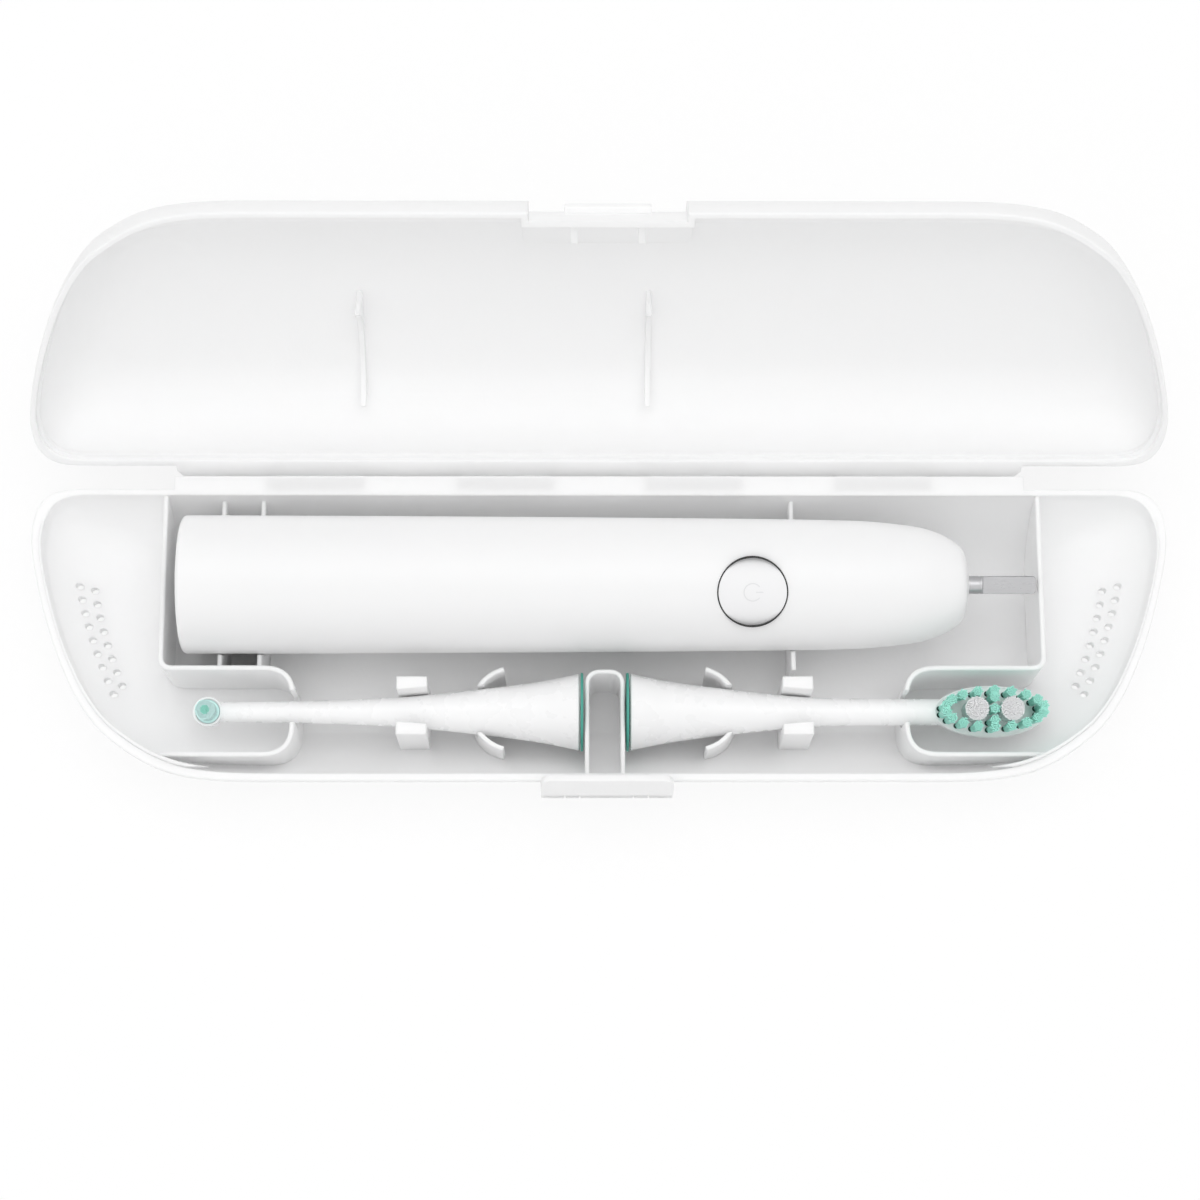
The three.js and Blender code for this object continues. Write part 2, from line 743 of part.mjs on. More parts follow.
// The lid's knuckles, each on an arm that goes round the strip to the flange behind it
function lidKnuckles() {
  const bottom = rimZ + rimGap;
  const top = bottom + hingeFlangeThickness;
  const flange = new THREE.Shape();
  const back = caseHalfWidth - lidWall / 2;
  flange.moveTo(-hingeHalfLength, back);
  flange.lineTo(hingeHalfLength, back);
  flange.lineTo(hingeHalfLength, hingeFlangeY - flangeChamfer);
  flange.lineTo(hingeHalfLength - flangeChamfer, hingeFlangeY);
  flange.lineTo(-hingeHalfLength + flangeChamfer, hingeFlangeY);
  flange.lineTo(-hingeHalfLength, hingeFlangeY - flangeChamfer);
  const arms = knuckleSpans(1).map(([x0, x1]) => rodX(knuckleRadius, x0, x1, hingeY, hingeZ)
    .add(box(x0, x1, hingeY, hingeFlangeY, hingeZ - knuckleRadius / 2, hingeZ + knuckleRadius / 2))
    .add(box(x0, x1, hingeFlangeY - hingeArmThickness, hingeFlangeY, hingeZ, top)));
  return prismZ(flange, bottom, top).add(unionOf(arms).subtract(pinBore()));
}

// Latch
function lugPlaces() {
  return [latchMiddleX - lugSpacing / 2, latchMiddleX + lugSpacing / 2];
}

function latchLugs() {
  const lugs = lugPlaces().map((x) => {
    const x0 = x - lugThickness / 2;
    const x1 = x + lugThickness / 2;
    const eye = rodX(latchBarrelRadius, x0, x1, latchPivotY, latchPivotZ);
    const web = box(x0, x1, latchPivotY, -caseHalfWidth + baseWall / 2,
      latchPivotZ - latchBarrelRadius, latchPivotZ + latchBarrelRadius);
    return eye.add(web);
  });
  const reach = latchHalfWidth + overrun;
  return unionOf(lugs).subtract(
    rodX(latchPinRadius + fit, latchMiddleX - reach, latchMiddleX + reach, latchPivotY, latchPivotZ));
}

function latchPlateShape() {
  const inY = latchPlateInY;
  const outY = inY - latchPlateThickness;
  const top = rimZ + latchRise;
  const shape = new THREE.Shape();
  shape.moveTo(outY, latchPivotZ);
  shape.lineTo(inY, latchPivotZ);
  shape.lineTo(inY, rimZ);
  shape.quadraticCurveTo(inY, rimZ + latchRise / 2, inY + latchLean, top);
  shape.lineTo(inY + latchLean - latchPlateThickness, top + fit);
  shape.quadraticCurveTo(outY, rimZ + latchRise / 2, outY, rimZ);
  return shape;
}

// How far in the leaning plate lies at a height above the rim
function latchLeanAt(rise) {
  return latchLean * (rise / latchRise) ** 2;
}

function latchFlap() {
  const x0 = latchMiddleX - latchHalfWidth;
  const x1 = latchMiddleX + latchHalfWidth;
  const plate = prismX(latchPlateShape(), x0, x1, latchSteps);
  const barrel = rodX(latchBarrelRadius, x0, x1, latchPivotY, latchPivotZ);
  const hookZ = rimZ + ridgeBottom + ridgeHeight + hookGap;
  const hookRootY = latchPlateInY - latchPlateThickness / 2 + latchLeanAt(hookZ + hookHeight / 2 - rimZ);
  const hook = box(latchMiddleX - ridgeHalfWidth, latchMiddleX + ridgeHalfWidth,
    hookRootY, ridgeFaceY + hookEngagement, hookZ, hookZ + hookHeight);
  const bottom = latchPivotZ - latchBarrelRadius;
  const face = roundedRectangle(x0, x1, bottom, rimZ + latchRise + 2 * fit, latchCorner);
  const trim = prismY(face, -caseHalfWidth - overrun * 2, -caseHalfWidth + overrun * 2);
  const slots = lugPlaces().map((x) => {
    const s0 = x - lugThickness / 2 - fit;
    const s1 = x + lugThickness / 2 + fit;
    return rodX(latchBarrelRadius + fit, s0, s1, latchPivotY, latchPivotZ);
  });
  const bore = rodX(latchPinRadius + fit, x0 - overrun, x1 + overrun, latchPivotY, latchPivotZ);
  return plate.add(barrel).add(hook).intersect(trim).subtract(unionOf(slots)).subtract(bore);
}

// Takes the lid's front face down by a depth, from the rim to an end square to that rounded face
function recessCutter(depth, margin) {
  const x0 = latchMiddleX - recessHalfWidth - margin;
  const x1 = latchMiddleX + recessHalfWidth + margin;
  const rise = lidDepth - rimBand;
  const cosine = Math.cos(recessEndTurn);
  const sine = Math.sin(recessEndTurn);
  const along = new THREE.Vector2(lidFrontInset * sine, rise * cosine).normalize();
  const end = new THREE.Vector2(
    lidFrontInset * (1 - cosine) - caseHalfWidth, rimZ + rimGap + rimBand + rise * sine);
  end.addScaledVector(along, margin);
  const across = new THREE.Vector2(along.y, -along.x).multiplyScalar(lidDepth + overrun);
  const foot = end.clone().add(across);
  const head = end.clone().sub(across);
  const front = -caseHalfWidth - overrun;
  const shape = new THREE.Shape([
    new THREE.Vector2(front, foot.y), foot, head, new THREE.Vector2(front, head.y)]);
  const block = prismX(shape, x0, x1);
  const keep = [lidMouth(rimZ - overrun, depth), ...lidOuter(depth, depth)];
  return block.subtract(loft(keep));
}

// Base and lid
function baseShell() {
  const top = ringAt(rimZ, 0, 0);
  const body = loft([...baseOuter(), top]);
  const rimInset = tongueOffset + tongueThickness;
  const inner = baseOuter(baseWall, baseFloor).filter((ring) => ring.z < rimZ - rimWallDepth);
  const hollow = loft([
    ...inner,
    ringAt(rimZ - rimBand, rimInset, rimWallFront, rimWallBack),
    ringAt(rimZ + overrun, rimInset, rimWallFront, rimWallBack),
  ]);
  const walls = unionOf([
    basinWall(dividerX), mirrored(basinWall(leftDividerX)), channelDivider(),
    neckClip(-1), neckClip(1),
    cradleWallAt(-1), cradleWallAt(1), handleRibs(),
  ]).intersect(loft([...baseOuter(baseWall / 2, baseFloor / 2), ringAt(rimZ, baseWall / 2, baseWall / 2)]));
  return body.subtract(hollow).add(walls).add(tongue())
    .add(baseKnuckles()).add(latchLugs()).subtract(vents());
}

function lidRib(share) {
  const x = handleRearX + share * handleLength;
  const plate = box(x - lidRibThickness / 2, x + lidRibThickness / 2, handleAxisY - lidRibFrontReach,
    handleAxisY + lidRibBackReach, rimZ + lidRibBottom, rimZ + lidDepth);
  const room = rodX(handleRadius + lidRibClearance, x - overrun, x + overrun,
    handleAxisY, handleAxisZ, handleSides);
  return plate.subtract(room);
}

// Gussets that stiffen the wall behind the latch recess, rooted halfway into that wall
function gussets() {
  const bottom = rimZ + rimGap;
  const half = gussetThickness / 2;
  const plates = [-1, 1].map((side) => {
    const x = latchMiddleX + side * gussetOffsetX;
    return box(x - half, x + half, recessFloorY, recessFloorY + gussetReach + lidWall,
      bottom + rimBand, bottom + gussetRise);
  });
  return unionOf(plates).subtract(recessCutter(recessDepth + lidWall / 2, lidWall / 2));
}

function lidShell() {
  const body = loft([lidMouth(rimZ + rimGap, 0), ...lidOuter()]);
  const shelfZ = rimZ + tongueHeight + fit;
  const mouth = loft([lidMouth(rimZ - overrun, lidWall), lidMouth(shelfZ, lidWall)]);
  const shelf = [shelfZ - fit, shelfZ + rimBand].map((z) =>
    drawnRing(z, 0, lidShelfEnds, lidShelfFront, lidShelfBack));
  const hollow = loft([...shelf, ...lidOuter(lidWall, lidWall).slice(1)]).add(mouth);
  const cavity = hollow.subtract(recessCutter(recessDepth + lidWall, lidWall));
  const ridgeZ = rimZ + ridgeBottom;
  const ridge = box(latchMiddleX - ridgeHalfWidth, latchMiddleX + ridgeHalfWidth,
    ridgeFaceY, recessFloorY + lidWall, ridgeZ, ridgeZ + ridgeHeight);
  const half = lidWall / 2;
  const inside = unionOf([...lidRibShares.map(lidRib), gussets()])
    .intersect(loft([lidMouth(rimZ + rimGap, half), ...lidOuter(half, half)]));
  return body.subtract(recessCutter(recessDepth, 0)).subtract(cavity)
    .add(ridge).add(inside).add(lidKnuckles());
}

// Handle
function handleOuterProfile(grow) {
  const rear = handleRearX - grow;
  const body = handleProfileShares.map(([along, wide]) => [
    handleRearX + along * handleLength, wide * handleRadius + grow]);
  const nose = body[body.length - 1];
  const rearFace = [[rear, 0], [rear, handleRadius - handleRearRound + grow]];
  return [...rearFace, ...body, [nose[0] + grow, nose[1]], [nose[0] + grow, 0]];
}

function handleHollow() {
  const rear = handleRearX - overrun;
  const spigotEnd = handleRearX + capDiscLength + capSpigotLength;
  const boreX = noseX - noseWallLength * 2;
  const shoulderX = boreX - noseWallLength;
  const body = handleProfileShares
    .map(([along, wide]) => [handleRearX + along * handleLength, wide * handleRadius - handleWall])
    .filter(([x]) => x > spigotEnd && x < shoulderX);
  return latheX([
    [rear, 0], [rear, capRadius + fit], [spigotEnd, capRadius + fit], ...body,
    [shoulderX, boreRadiusAt(shoulderX) - handleWall / 2],
    [boreX, noseOpeningRadius], [noseX + overrun, noseOpeningRadius], [noseX + overrun, 0],
  ], handleSides);
}

// The clear radius inside the housing's faceted wall at a place along it
function boreRadiusAt(x) {
  const along = (x - handleRearX) / handleLength;
  const after = handleProfileShares.findIndex(([share]) => share > along);
  const [share0, wide0] = handleProfileShares[after - 1];
  const [share1, wide1] = handleProfileShares[after];
  const wide = wide0 + (wide1 - wide0) * (along - share0) / (share1 - share0);
  return (wide * handleRadius - handleWall) * Math.cos(Math.PI / handleSides);
}

function handleHousing() {
  const hole = rodZ(buttonRadius + fit, 0, handleRadius + overrun, buttonX, 0, buttonSides);
  return latheX(handleOuterProfile(0), handleSides).subtract(handleHollow()).subtract(hole);
}

function powerButton() {
  const disc = rodZ(buttonRadius, buttonBottom, handleRadius, buttonX, 0, buttonSides);
  const stem = rodZ(buttonStemRadius, buttonBottom - buttonTravel, buttonBottom + fit, buttonX, 0);
  return disc.intersect(latheX(handleOuterProfile(0), handleSides)).add(stem);
}

function buttonMembrane() {
  return rodZ(membraneRadius, membraneBottom, membraneBottom + membraneThickness, buttonX, 0);
}

function tactSwitch() {
  const bottom = boardTop + fit;
  const half = switchSize / 2;
  return box(buttonX - half, buttonX + half, -half, half, bottom, bottom + switchHeight * switchBodyShare)
    .add(rodZ(half / 2, bottom, bottom + switchHeight, buttonX, 0));
}

function bottomCap() {
  const x0 = handleRearX;
  const discEnd = x0 + capDiscLength;
  const grooveStart = x0 + sealBack;
  const grooveEnd = grooveStart + sealWidth + 2 * fit;
  const spigotEnd = discEnd + capSpigotLength;
  const grooveRadius = capRadius - sealThickness - fit;
  return latheX([
    [x0 + chargerRecessLength, 0], [x0 + chargerRecessLength, chargerRecessRadius],
    [x0, chargerRecessRadius], [x0, capRadius - capCrown], [x0 + capCrown, capRadius],
    [discEnd, capRadius], [discEnd, capSpigotRadius], [grooveStart, capSpigotRadius],
    [grooveStart, grooveRadius], [grooveEnd, grooveRadius], [grooveEnd, capSpigotRadius],
    [spigotEnd, capSpigotRadius], [spigotEnd, capCoreRadius],
    [x0 + capCoreLength, capCoreRadius], [x0 + capCoreLength, 0],
  ], innerSides);
}

function bottomSeal() {
  const x0 = handleRearX + sealBack + fit;
  return ringX(capRadius - sealThickness, capRadius, x0, x0 + sealWidth, innerSides);
}

function coilBobbin() {
  const x0 = bobbinStartX;
  const x1 = x0 + bobbinLength;
  const bobbinRadius = capSpigotRadius - bobbinMargin;
  const bore = capCoreRadius + fit;
  const core = bore + bobbinWall;
  return latheX([
    [x0, bore], [x0, bobbinRadius], [x0 + bobbinFlange, bobbinRadius], [x0 + bobbinFlange, core],
    [x1 - bobbinFlange, core], [x1 - bobbinFlange, bobbinRadius], [x1, bobbinRadius], [x1, bore], [x0, bore],
  ], innerSides);
}

function chargingCoil() {
  const x0 = bobbinStartX + bobbinFlange + fit;
  const inner = capCoreRadius + 2 * fit + bobbinWall;
  return ringX(inner, inner + coilThickness, x0, x0 + bobbinLength - 2 * bobbinFlange - 2 * fit, innerSides);
}

function battery() {
  const x0 = chassisRearX + bulkheadThickness + fit;
  return rodX(batteryRadius, x0, x0 + batteryLength, 0, batteryAxis, innerSides);
}

function chassis() {
  const inner = batteryRadius + fit;
  const outer = inner + chassisWall;
  const bottom = batteryAxis - outer;
  const railTop = boardTop - boardThickness - fit;
  const rails = box(chassisRearX, chassisFrontX, -outer, outer, bottom, railTop);
  const room = box(chassisRearX + bulkheadThickness, chassisFrontX - bulkheadThickness, -inner, inner,
    bottom + chassisWall, railTop + overrun);
  const bore = boreRadiusAt(chassisFrontX) - fit;
  const rear = rodX(bore, chassisRearX, chassisRearX + bulkheadThickness, 0, 0, innerSides);
  const front = rodX(bore, chassisFrontX - bulkheadThickness, chassisFrontX, 0, 0, innerSides);
  const trim = rodX(bore, chassisRearX - overrun, chassisFrontX + overrun, 0, 0, innerSides);
  return rails.subtract(room).intersect(trim).add(rear).add(front);
}

function circuitBoard() {
  const x0 = chassisRearX + bulkheadThickness + fit;
  const x1 = chassisFrontX - bulkheadThickness - fit;
  const half = Math.sqrt((boreRadiusAt(chassisFrontX) - boardEdgeGap) ** 2 - boardTop ** 2);
  return box(x0, x1, -half, half, boardTop - boardThickness, boardTop);
}

// The motor is as wide as its rubber ring leaves room for in the bore, and its rotor turns in the stator
function motorRadius() {
  return boreRadiusAt(motorFrontX - damperSetback) - damperThickness - 2 * fit;
}

function rotorRadius() {
  return motorRadius() - statorThickness - fit;
}

function motorCan() {
  const x0 = motorFrontX - motorLength;
  const x1 = motorFrontX;
  const room = rotorRadius() + fit;
  const bore = shaftRadius + fit;
  return latheX([
    [x0, 0], [x0, motorRadius()], [x1, motorRadius()], [x1, bore], [x1 - motorWall, bore],
    [x1 - motorWall, room], [x0 + motorWall, room], [x0 + motorWall, 0],
  ], innerSides);
}

function motorDamper() {
  const x1 = motorFrontX - damperSetback;
  return ringX(motorRadius() + fit, boreRadiusAt(x1) - fit, x1 - damperLength, x1, innerSides);
}

function rotorSpan() {
  const x1 = motorFrontX - motorWall - overrun;
  return [x1 - rotorLength, x1];
}

function rotorMagnet() {
  const [x0, x1] = rotorSpan();
  return ringX(shaftRadius + fit, rotorRadius(), x0, x1, smallSides);
}

function driveShaft() {
  const [x0] = rotorSpan();
  const tipX = noseX + shaftReach;
  const rod = latheX([
    [x0, 0], [x0, shaftRadius], [tipX - shaftTipRound, shaftRadius],
    [tipX, shaftRadius - shaftTipRound], [tipX, 0]], innerSides);
  const flat = box(tipX - shaftFlatLength, tipX + overrun, -shaftRadius, shaftRadius,
    shaftRadius - shaftFlatDepth, shaftRadius + overrun);
  return rod.subtract(flat);
}

function shaftSeal() {
  const x0 = motorFrontX + fit;
  const bore = shaftRadius + fit;
  return latheX([
    [x0, bore], [x0, shaftSealRadius], [x0 + shaftSealWall, shaftSealRadius],
    [x0 + shaftSealWall, bore + shaftSealWall], [x0 + shaftSealLength, bore + shaftSealWall],
    [x0 + shaftSealLength, bore], [x0, bore],
  ], innerSides);
}

function noseBushing() {
  const x1 = noseX + fit;
  return ringX(shaftRadius + fit, bushingRadius, x1 - bushingLength, x1, innerSides);
}

// Brush heads: a hollow cone, a ring at its big end, a coupling in the socket and the bristles
function headBody(rootX, side, neckEndX, neckTipRadius) {
  const end = rootX + side * (headRingThickness + fit);
  const cone = headConeShares.map(([along, wide]) => [
    rootX + side * along * headConeLength, wide * headBigRadius]);
  const start = [end, cone[0][1]];
  const neck = [[neckEndX, neckTipRadius], [neckEndX, 0]];
  const body = latheX([[end, 0], start, ...cone.slice(1), ...neck], headSides, headAxisY, headAxisZ);
  const mouth = rodX(socketRadius, end - side * overrun, end + side * socketDepth,
    headAxisY, headAxisZ, innerSides);
  const seatEnd = end + side * (socketDepth + couplingLength + 2 * fit);
  const seat = rodX(couplingRadius + fit, end, seatEnd, headAxisY, headAxisZ, innerSides);
  return body.subtract(mouth).subtract(seat);
}

function headRing(rootX, side) {
  return ringX(headBigRadius - headRingWall, headBigRadius, rootX, rootX + side * headRingThickness,
    headSides, headAxisY, headAxisZ);
}

function headCoupling(rootX, side) {
  const start = rootX + side * (headRingThickness + fit + socketDepth + fit);
  return ringX(couplingBore, couplingRadius, start, start + side * couplingLength,
    innerSides, headAxisY, headAxisZ);
}

function ellipseShape(x, y, rx, ry) {
  const shape = new THREE.Shape();
  shape.absellipse(x, y, rx, ry, 0, 2 * Math.PI, false);
  return shape;
}

function leftHeadBody() {
  const top = headAxisZ + leftDiscThickness / 2;
  const disc = rodZ(leftDiscRadius, headAxisZ - leftDiscThickness / 2, top, leftDiscX, headAxisY, innerSides);
  const well = rodZ(leftTuftRadius + sliceMargin + fit, top - bristleSlice - fit, top + overrun,
    leftDiscX, headAxisY, innerSides);
  const neckEndX = leftDiscX + leftDiscRadius - neckOverlap;
  return headBody(leftHeadRootX, -1, neckEndX, leftNeckTipRadius).add(disc).subtract(well);
}

function rightHeadBody() {
  const top = headAxisZ + rightPlateThickness / 2;
  const plate = prismZ(ellipseShape(rightPlateX, headAxisY, rightPlateHalfLength, rightPlateHalfWidth),
    headAxisZ - rightPlateThickness / 2, top, plateSteps);
  const wellShape = ellipseShape(rightPlateX, headAxisY,
    rightPlateHalfLength - sliceMargin, rightPlateHalfWidth - sliceMargin);
  const well = prismZ(wellShape, top - bristleSlice - fit, top + overrun, plateSteps);
  const neckEndX = rightPlateX - rightPlateHalfLength + neckOverlap;
  return headBody(rightHeadRootX, 1, neckEndX, rightNeckTipRadius).add(plate).subtract(well);
}

// Strands spread evenly over a round tuft, by equal areas and the golden angle
function tuftPlaces(x, y, radius, count) {
  const goldenAngle = Math.PI * (3 - Math.sqrt(5));
  const places = [];
  for (let i = 0; i < count; i += 1) {
    const r = radius * Math.sqrt((i + 0.5) / count);
    places.push([x + r * Math.cos(i * goldenAngle), y + r * Math.sin(i * goldenAngle)]);
  }
  return places;
}

function strands(places, radius, z0, z1) {
  return unionOf(places.map(([x, y]) => rodZ(radius, z0, z1, x, y, strandSides)));
}

function tealTuftCentres() {
  const rx = rightPlateHalfLength - sliceMargin - fit - tealTuftRadius;
  const ry = rightPlateHalfWidth - sliceMargin - fit - tealTuftRadius;
  const centres = [];
  for (let i = 0; i < tealTuftCount; i += 1) {
    const angle = 2 * Math.PI * (i + 0.5) / tealTuftCount;
    centres.push([rightPlateX + rx * Math.cos(angle), headAxisY + ry * Math.sin(angle)]);
  }
  for (let i = 0; i < middleTuftCount; i += 1) {
    centres.push([rightPlateX, headAxisY + (i - (middleTuftCount - 1) / 2) * middleTuftPitch]);
  }
  return centres;
}

function whiteTuftCentres() {
  return [-1, 1].map((side) => [rightPlateX + side * whiteTuftSpacing / 2, headAxisY]);
}

function rightTealBristles() {
  const top = headAxisZ + rightPlateThickness / 2;
  const z0 = top - bristleSlice;
  const sliceShape = ellipseShape(rightPlateX, headAxisY,
    rightPlateHalfLength - sliceMargin - fit, rightPlateHalfWidth - sliceMargin - fit);
  const slice = prismZ(sliceShape, z0, top, plateSteps);
  const wells = unionOf(whiteTuftCentres().map(([x, y]) =>
    rodZ(whiteTuftRadius + sliceMargin + fit, z0 - overrun, top + overrun, x, y)));
  const places = tealTuftCentres().flatMap(([x, y]) => tuftPlaces(x, y, tealTuftRadius, tealTuftStrands));
  const bundle = strands(places, tealStrandRadius, z0 + bristleSlice / 2, top + bristleLength);
  return slice.subtract(wells).add(bundle);
}

function rightWhiteTuft([x, y]) {
  const top = headAxisZ + rightPlateThickness / 2;
  const z0 = top - bristleSlice;
  const slice = rodZ(whiteTuftRadius + sliceMargin, z0, top, x, y);
  const places = tuftPlaces(x, y, whiteTuftRadius, whiteTuftStrands);
  return slice.add(strands(places, whiteStrandRadius, z0 + bristleSlice / 2, top + bristleLength));
}

function leftBristles() {
  const top = headAxisZ + leftDiscThickness / 2;
  const z0 = top - bristleSlice;
  const slice = rodZ(leftTuftRadius + sliceMargin, z0, top, leftDiscX, headAxisY);
  const places = tuftPlaces(leftDiscX, headAxisY, leftTuftRadius, leftTuftStrands);
  return slice.add(strands(places, tealStrandRadius, z0 + bristleSlice / 2, top + leftBristleLength));
}

// The scene graph
const travelCase = new THREE.Group();

travelCase.add(part("base_shell", baseShell(), casePlastic));
travelCase.add(part("hinge_pin", rodX(hingePinRadius, -hingeHalfLength + pinInset,
  hingeHalfLength - pinInset, hingeY, hingeZ, pinSides), steel));
travelCase.add(part("latch_pin", rodX(latchPinRadius, latchMiddleX - latchHalfWidth + pinInset,
  latchMiddleX + latchHalfWidth - pinInset, latchPivotY, latchPivotZ, pinSides), steel));

// Holds pieces that are modelled upright or with the case shut, turned about an axis to their resting place
function turnedAbout(y, z, angle, nodes) {
  const pivot = new THREE.Group();
  pivot.position.set(0, y, z);
  pivot.rotation.x = angle;
  const content = new THREE.Group();
  content.position.set(0, -y, -z);
  content.add(...nodes);
  pivot.add(content);
  return pivot;
}

travelCase.add(turnedAbout(hingeY, hingeZ, -openAngle, [part("lid_shell", lidShell(), casePlastic)]));
travelCase.add(turnedAbout(latchPivotY, latchPivotZ, latchRestAngle, [
  part("latch_flap", latchFlap(), casePlastic)]));

const handle = new THREE.Group();
handle.position.set(0, handleAxisY, handleAxisZ);
handle.rotation.x = handleRoll;
handle.add(
  part("handle_housing", handleHousing(), handlePlastic),
  part("bottom_cap", bottomCap(), handlePlastic),
  part("bottom_seal", bottomSeal(), blackRubber),
  part("coil_bobbin", coilBobbin(), innerPlastic),
  part("charging_coil", chargingCoil(), copper),
  part("chassis", chassis(), innerPlastic),
  part("battery", battery(), cellWrap),
  part("circuit_board", circuitBoard(), boardGreen),
  part("tact_switch", tactSwitch(), blackRubber),
  part("button_membrane", buttonMembrane(), blackRubber),
  part("power_button", powerButton(), buttonRubber),
  part("motor_can", motorCan(), steel),
  part("motor_damper", motorDamper(), blackRubber),
  part("rotor_magnet", rotorMagnet(), magnetGrey),
  part("drive_shaft", driveShaft(), steel),
  part("shaft_seal", shaftSeal(), blackRubber),
  part("nose_bushing", noseBushing(), handlePlastic),
);
travelCase.add(handle);

travelCase.add(turnedAbout(headAxisY, headAxisZ, headRoll, [
  part("left_head_body", leftHeadBody(), headPlastic),
  part("left_head_ring", headRing(leftHeadRootX, -1), tealPlastic),
  part("left_head_coupling", headCoupling(leftHeadRootX, -1), steel),
  part("left_head_bristles", leftBristles(), tealNylon),
  part("right_head_body", rightHeadBody(), headPlastic),
  part("right_head_ring", headRing(rightHeadRootX, 1), tealPlastic),
  part("right_head_coupling", headCoupling(rightHeadRootX, 1), steel),
  part("right_head_teal_bristles", rightTealBristles(), tealNylon),
  ...whiteTuftCentres().map((centre, i) =>
    part(`right_head_white_tuft_${i + 1}`, rightWhiteTuft(centre), whiteNylon)),
]));

export default travelCase;
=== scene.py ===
"""Looks of the open toothbrush travel case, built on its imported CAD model, in millimetres until placed."""

import json
import math
import random

import bpy
import bmesh
from mathutils import Matrix, Vector


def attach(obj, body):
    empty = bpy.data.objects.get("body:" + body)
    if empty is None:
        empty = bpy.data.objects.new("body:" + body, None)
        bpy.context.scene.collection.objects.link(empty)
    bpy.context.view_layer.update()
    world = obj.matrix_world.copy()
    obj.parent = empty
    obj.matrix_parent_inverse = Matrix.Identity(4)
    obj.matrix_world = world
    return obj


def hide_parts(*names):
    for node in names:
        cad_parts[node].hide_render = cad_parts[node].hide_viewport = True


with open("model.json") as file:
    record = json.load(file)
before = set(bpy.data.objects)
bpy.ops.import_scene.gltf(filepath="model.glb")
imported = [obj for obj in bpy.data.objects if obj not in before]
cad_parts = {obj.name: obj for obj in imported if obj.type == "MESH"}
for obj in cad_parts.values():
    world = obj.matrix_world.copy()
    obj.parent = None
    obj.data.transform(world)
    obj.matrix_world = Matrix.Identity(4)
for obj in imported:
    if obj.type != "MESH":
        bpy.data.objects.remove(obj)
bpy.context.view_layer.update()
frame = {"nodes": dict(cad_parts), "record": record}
scene = bpy.context.scene
nodes = frame["nodes"]
MM = 0.001

# Case halves, with the origin in the middle of the base's underside
HALF_LENGTH = 125.9
HALF_WIDTH = 32.95
RIM_Z = 22
LID_DEPTH = 18
RIM_GAP = 0.3
RIM_BAND = 1.2
BASE_WALL = 1.8
LID_WALL = 1.5
RIM_ENDS = 2.5
RIM_FRONT = 1.75
RIM_BACK = 1.5
BASE_SHARE = 1.5
BASE_ENDS = 26
BASE_SIDES = 13
LID_SHARE = 2
LID_ENDS = 14
LID_FRONT = 22
LID_BACK = 16
LID_FLAT_RINGS = ((0.985, 0.9), (0.96, 0.75))
BLEND_FROM = -5
BLEND_OVER = 20
LID_Z = RIM_Z + RIM_GAP
LID_BAND_Z = LID_Z + RIM_BAND
SHELF_Z = 23.4
SHELF_ENDS = 2.3
SHELF_FRONT = 3
SHELF_BACK = 2.3
OUTLINE_STEPS = 26
PROFILE_STEPS = 22
FAR = 8
TONGUE_RISE = 1.1
TONGUE_FRONT = 3
TONGUE_BACK = 7.5

# Air holes of each end by column: first and last hole as shares of the half length and width, bow, count
VENT_COLUMNS = [((0.926, 0.404), (0.857, -0.353), 0.007, 9), ((0.902, 0.391), (0.8455, -0.281), 0.0055, 8)]
VENT_RADIUS = 0.78

# Hinge and latch
HINGE_Y = 35.27
HINGE_Z = 19.7
OPEN_ANGLE = math.radians(126.8)
KNUCKLE_RADIUS = 1.3
HINGE_HALF = 94.6
KNUCKLES = 9
KNUCKLE_GAP = 0.2
PIN_RADIUS = 0.5
PIN_BORE = 0.8
HINGE_PIN_HALF = 93.8
LATCH_PIN_HALF = 13.5
COVER_Y = 36
COVER_THICKNESS = 0.7
FLANGE_Y = 37.15
FLANGE_THICKNESS = 1.1
FLANGE_CORNER = 2.8
LATCH_X = 1.5
LATCH_Y = -34.65
LATCH_Z = 17.4
LATCH_HALF = 14.3
LATCH_PROUD = 2.5
LATCH_PLATE = 1.4
LATCH_LEAN = 2.7
LATCH_RISE = 8.3
LATCH_ANGLE = math.radians(8)
RECESS_DEPTH = 2.1
RECESS_SIDE = 2.5
RECESS_END = math.radians(64)
RIDGE_LOW = 4.4
RIDGE_PROUD = 1.1
RIDGE_HALF = 9.25
RIDGE_THICKNESS = 1.6
RECESS_FACE_Y = -HALF_WIDTH + RECESS_DEPTH
RECESS_ROUND = 1.6
GUSSET_X = 7.15
GUSSET_HALF = 0.8
GUSSET_REACH = 6.3
GUSSET_RISE = 8
LUG_PLACES = (LATCH_X - 7.5, LATCH_X + 7.5)
LUG_HALF = 1.5
LUG_RADIUS = 1.3
HOOK_RISE = 2
HOOK_GRIP = 0.7
HOOK_THICKNESS = 1.4

# Handle and heads
HANDLE_Y = 11.25
HANDLE_Z = 20.8
HANDLE_ROLL = math.radians(20.7)
HANDLE_RADIUS = 15.3
HANDLE_LENGTH = 173
HANDLE_REAR = -91.9
NOSE_X = HANDLE_REAR + HANDLE_LENGTH
REAR_ROUND = 1
HANDLE_SHARES = [
    (0, 1), (0.01, 1), (0.28, 0.99), (0.53, 0.973), (0.787, 0.945), (0.863, 0.924), (0.914, 0.873),
    (0.939, 0.832), (0.962, 0.755), (0.978, 0.668), (0.9895, 0.575), (0.9955, 0.485), (0.9985, 0.36)]
BUTTON_X = NOSE_X - 48.1
BUTTON_RADIUS = 7.4
NOSE_FACE_SHARE = 0.3
HOUSING_WALL = 1.8
CAP_REACH = 12.6
SHAFT_RADIUS = 2
SHAFT_START = 52.4
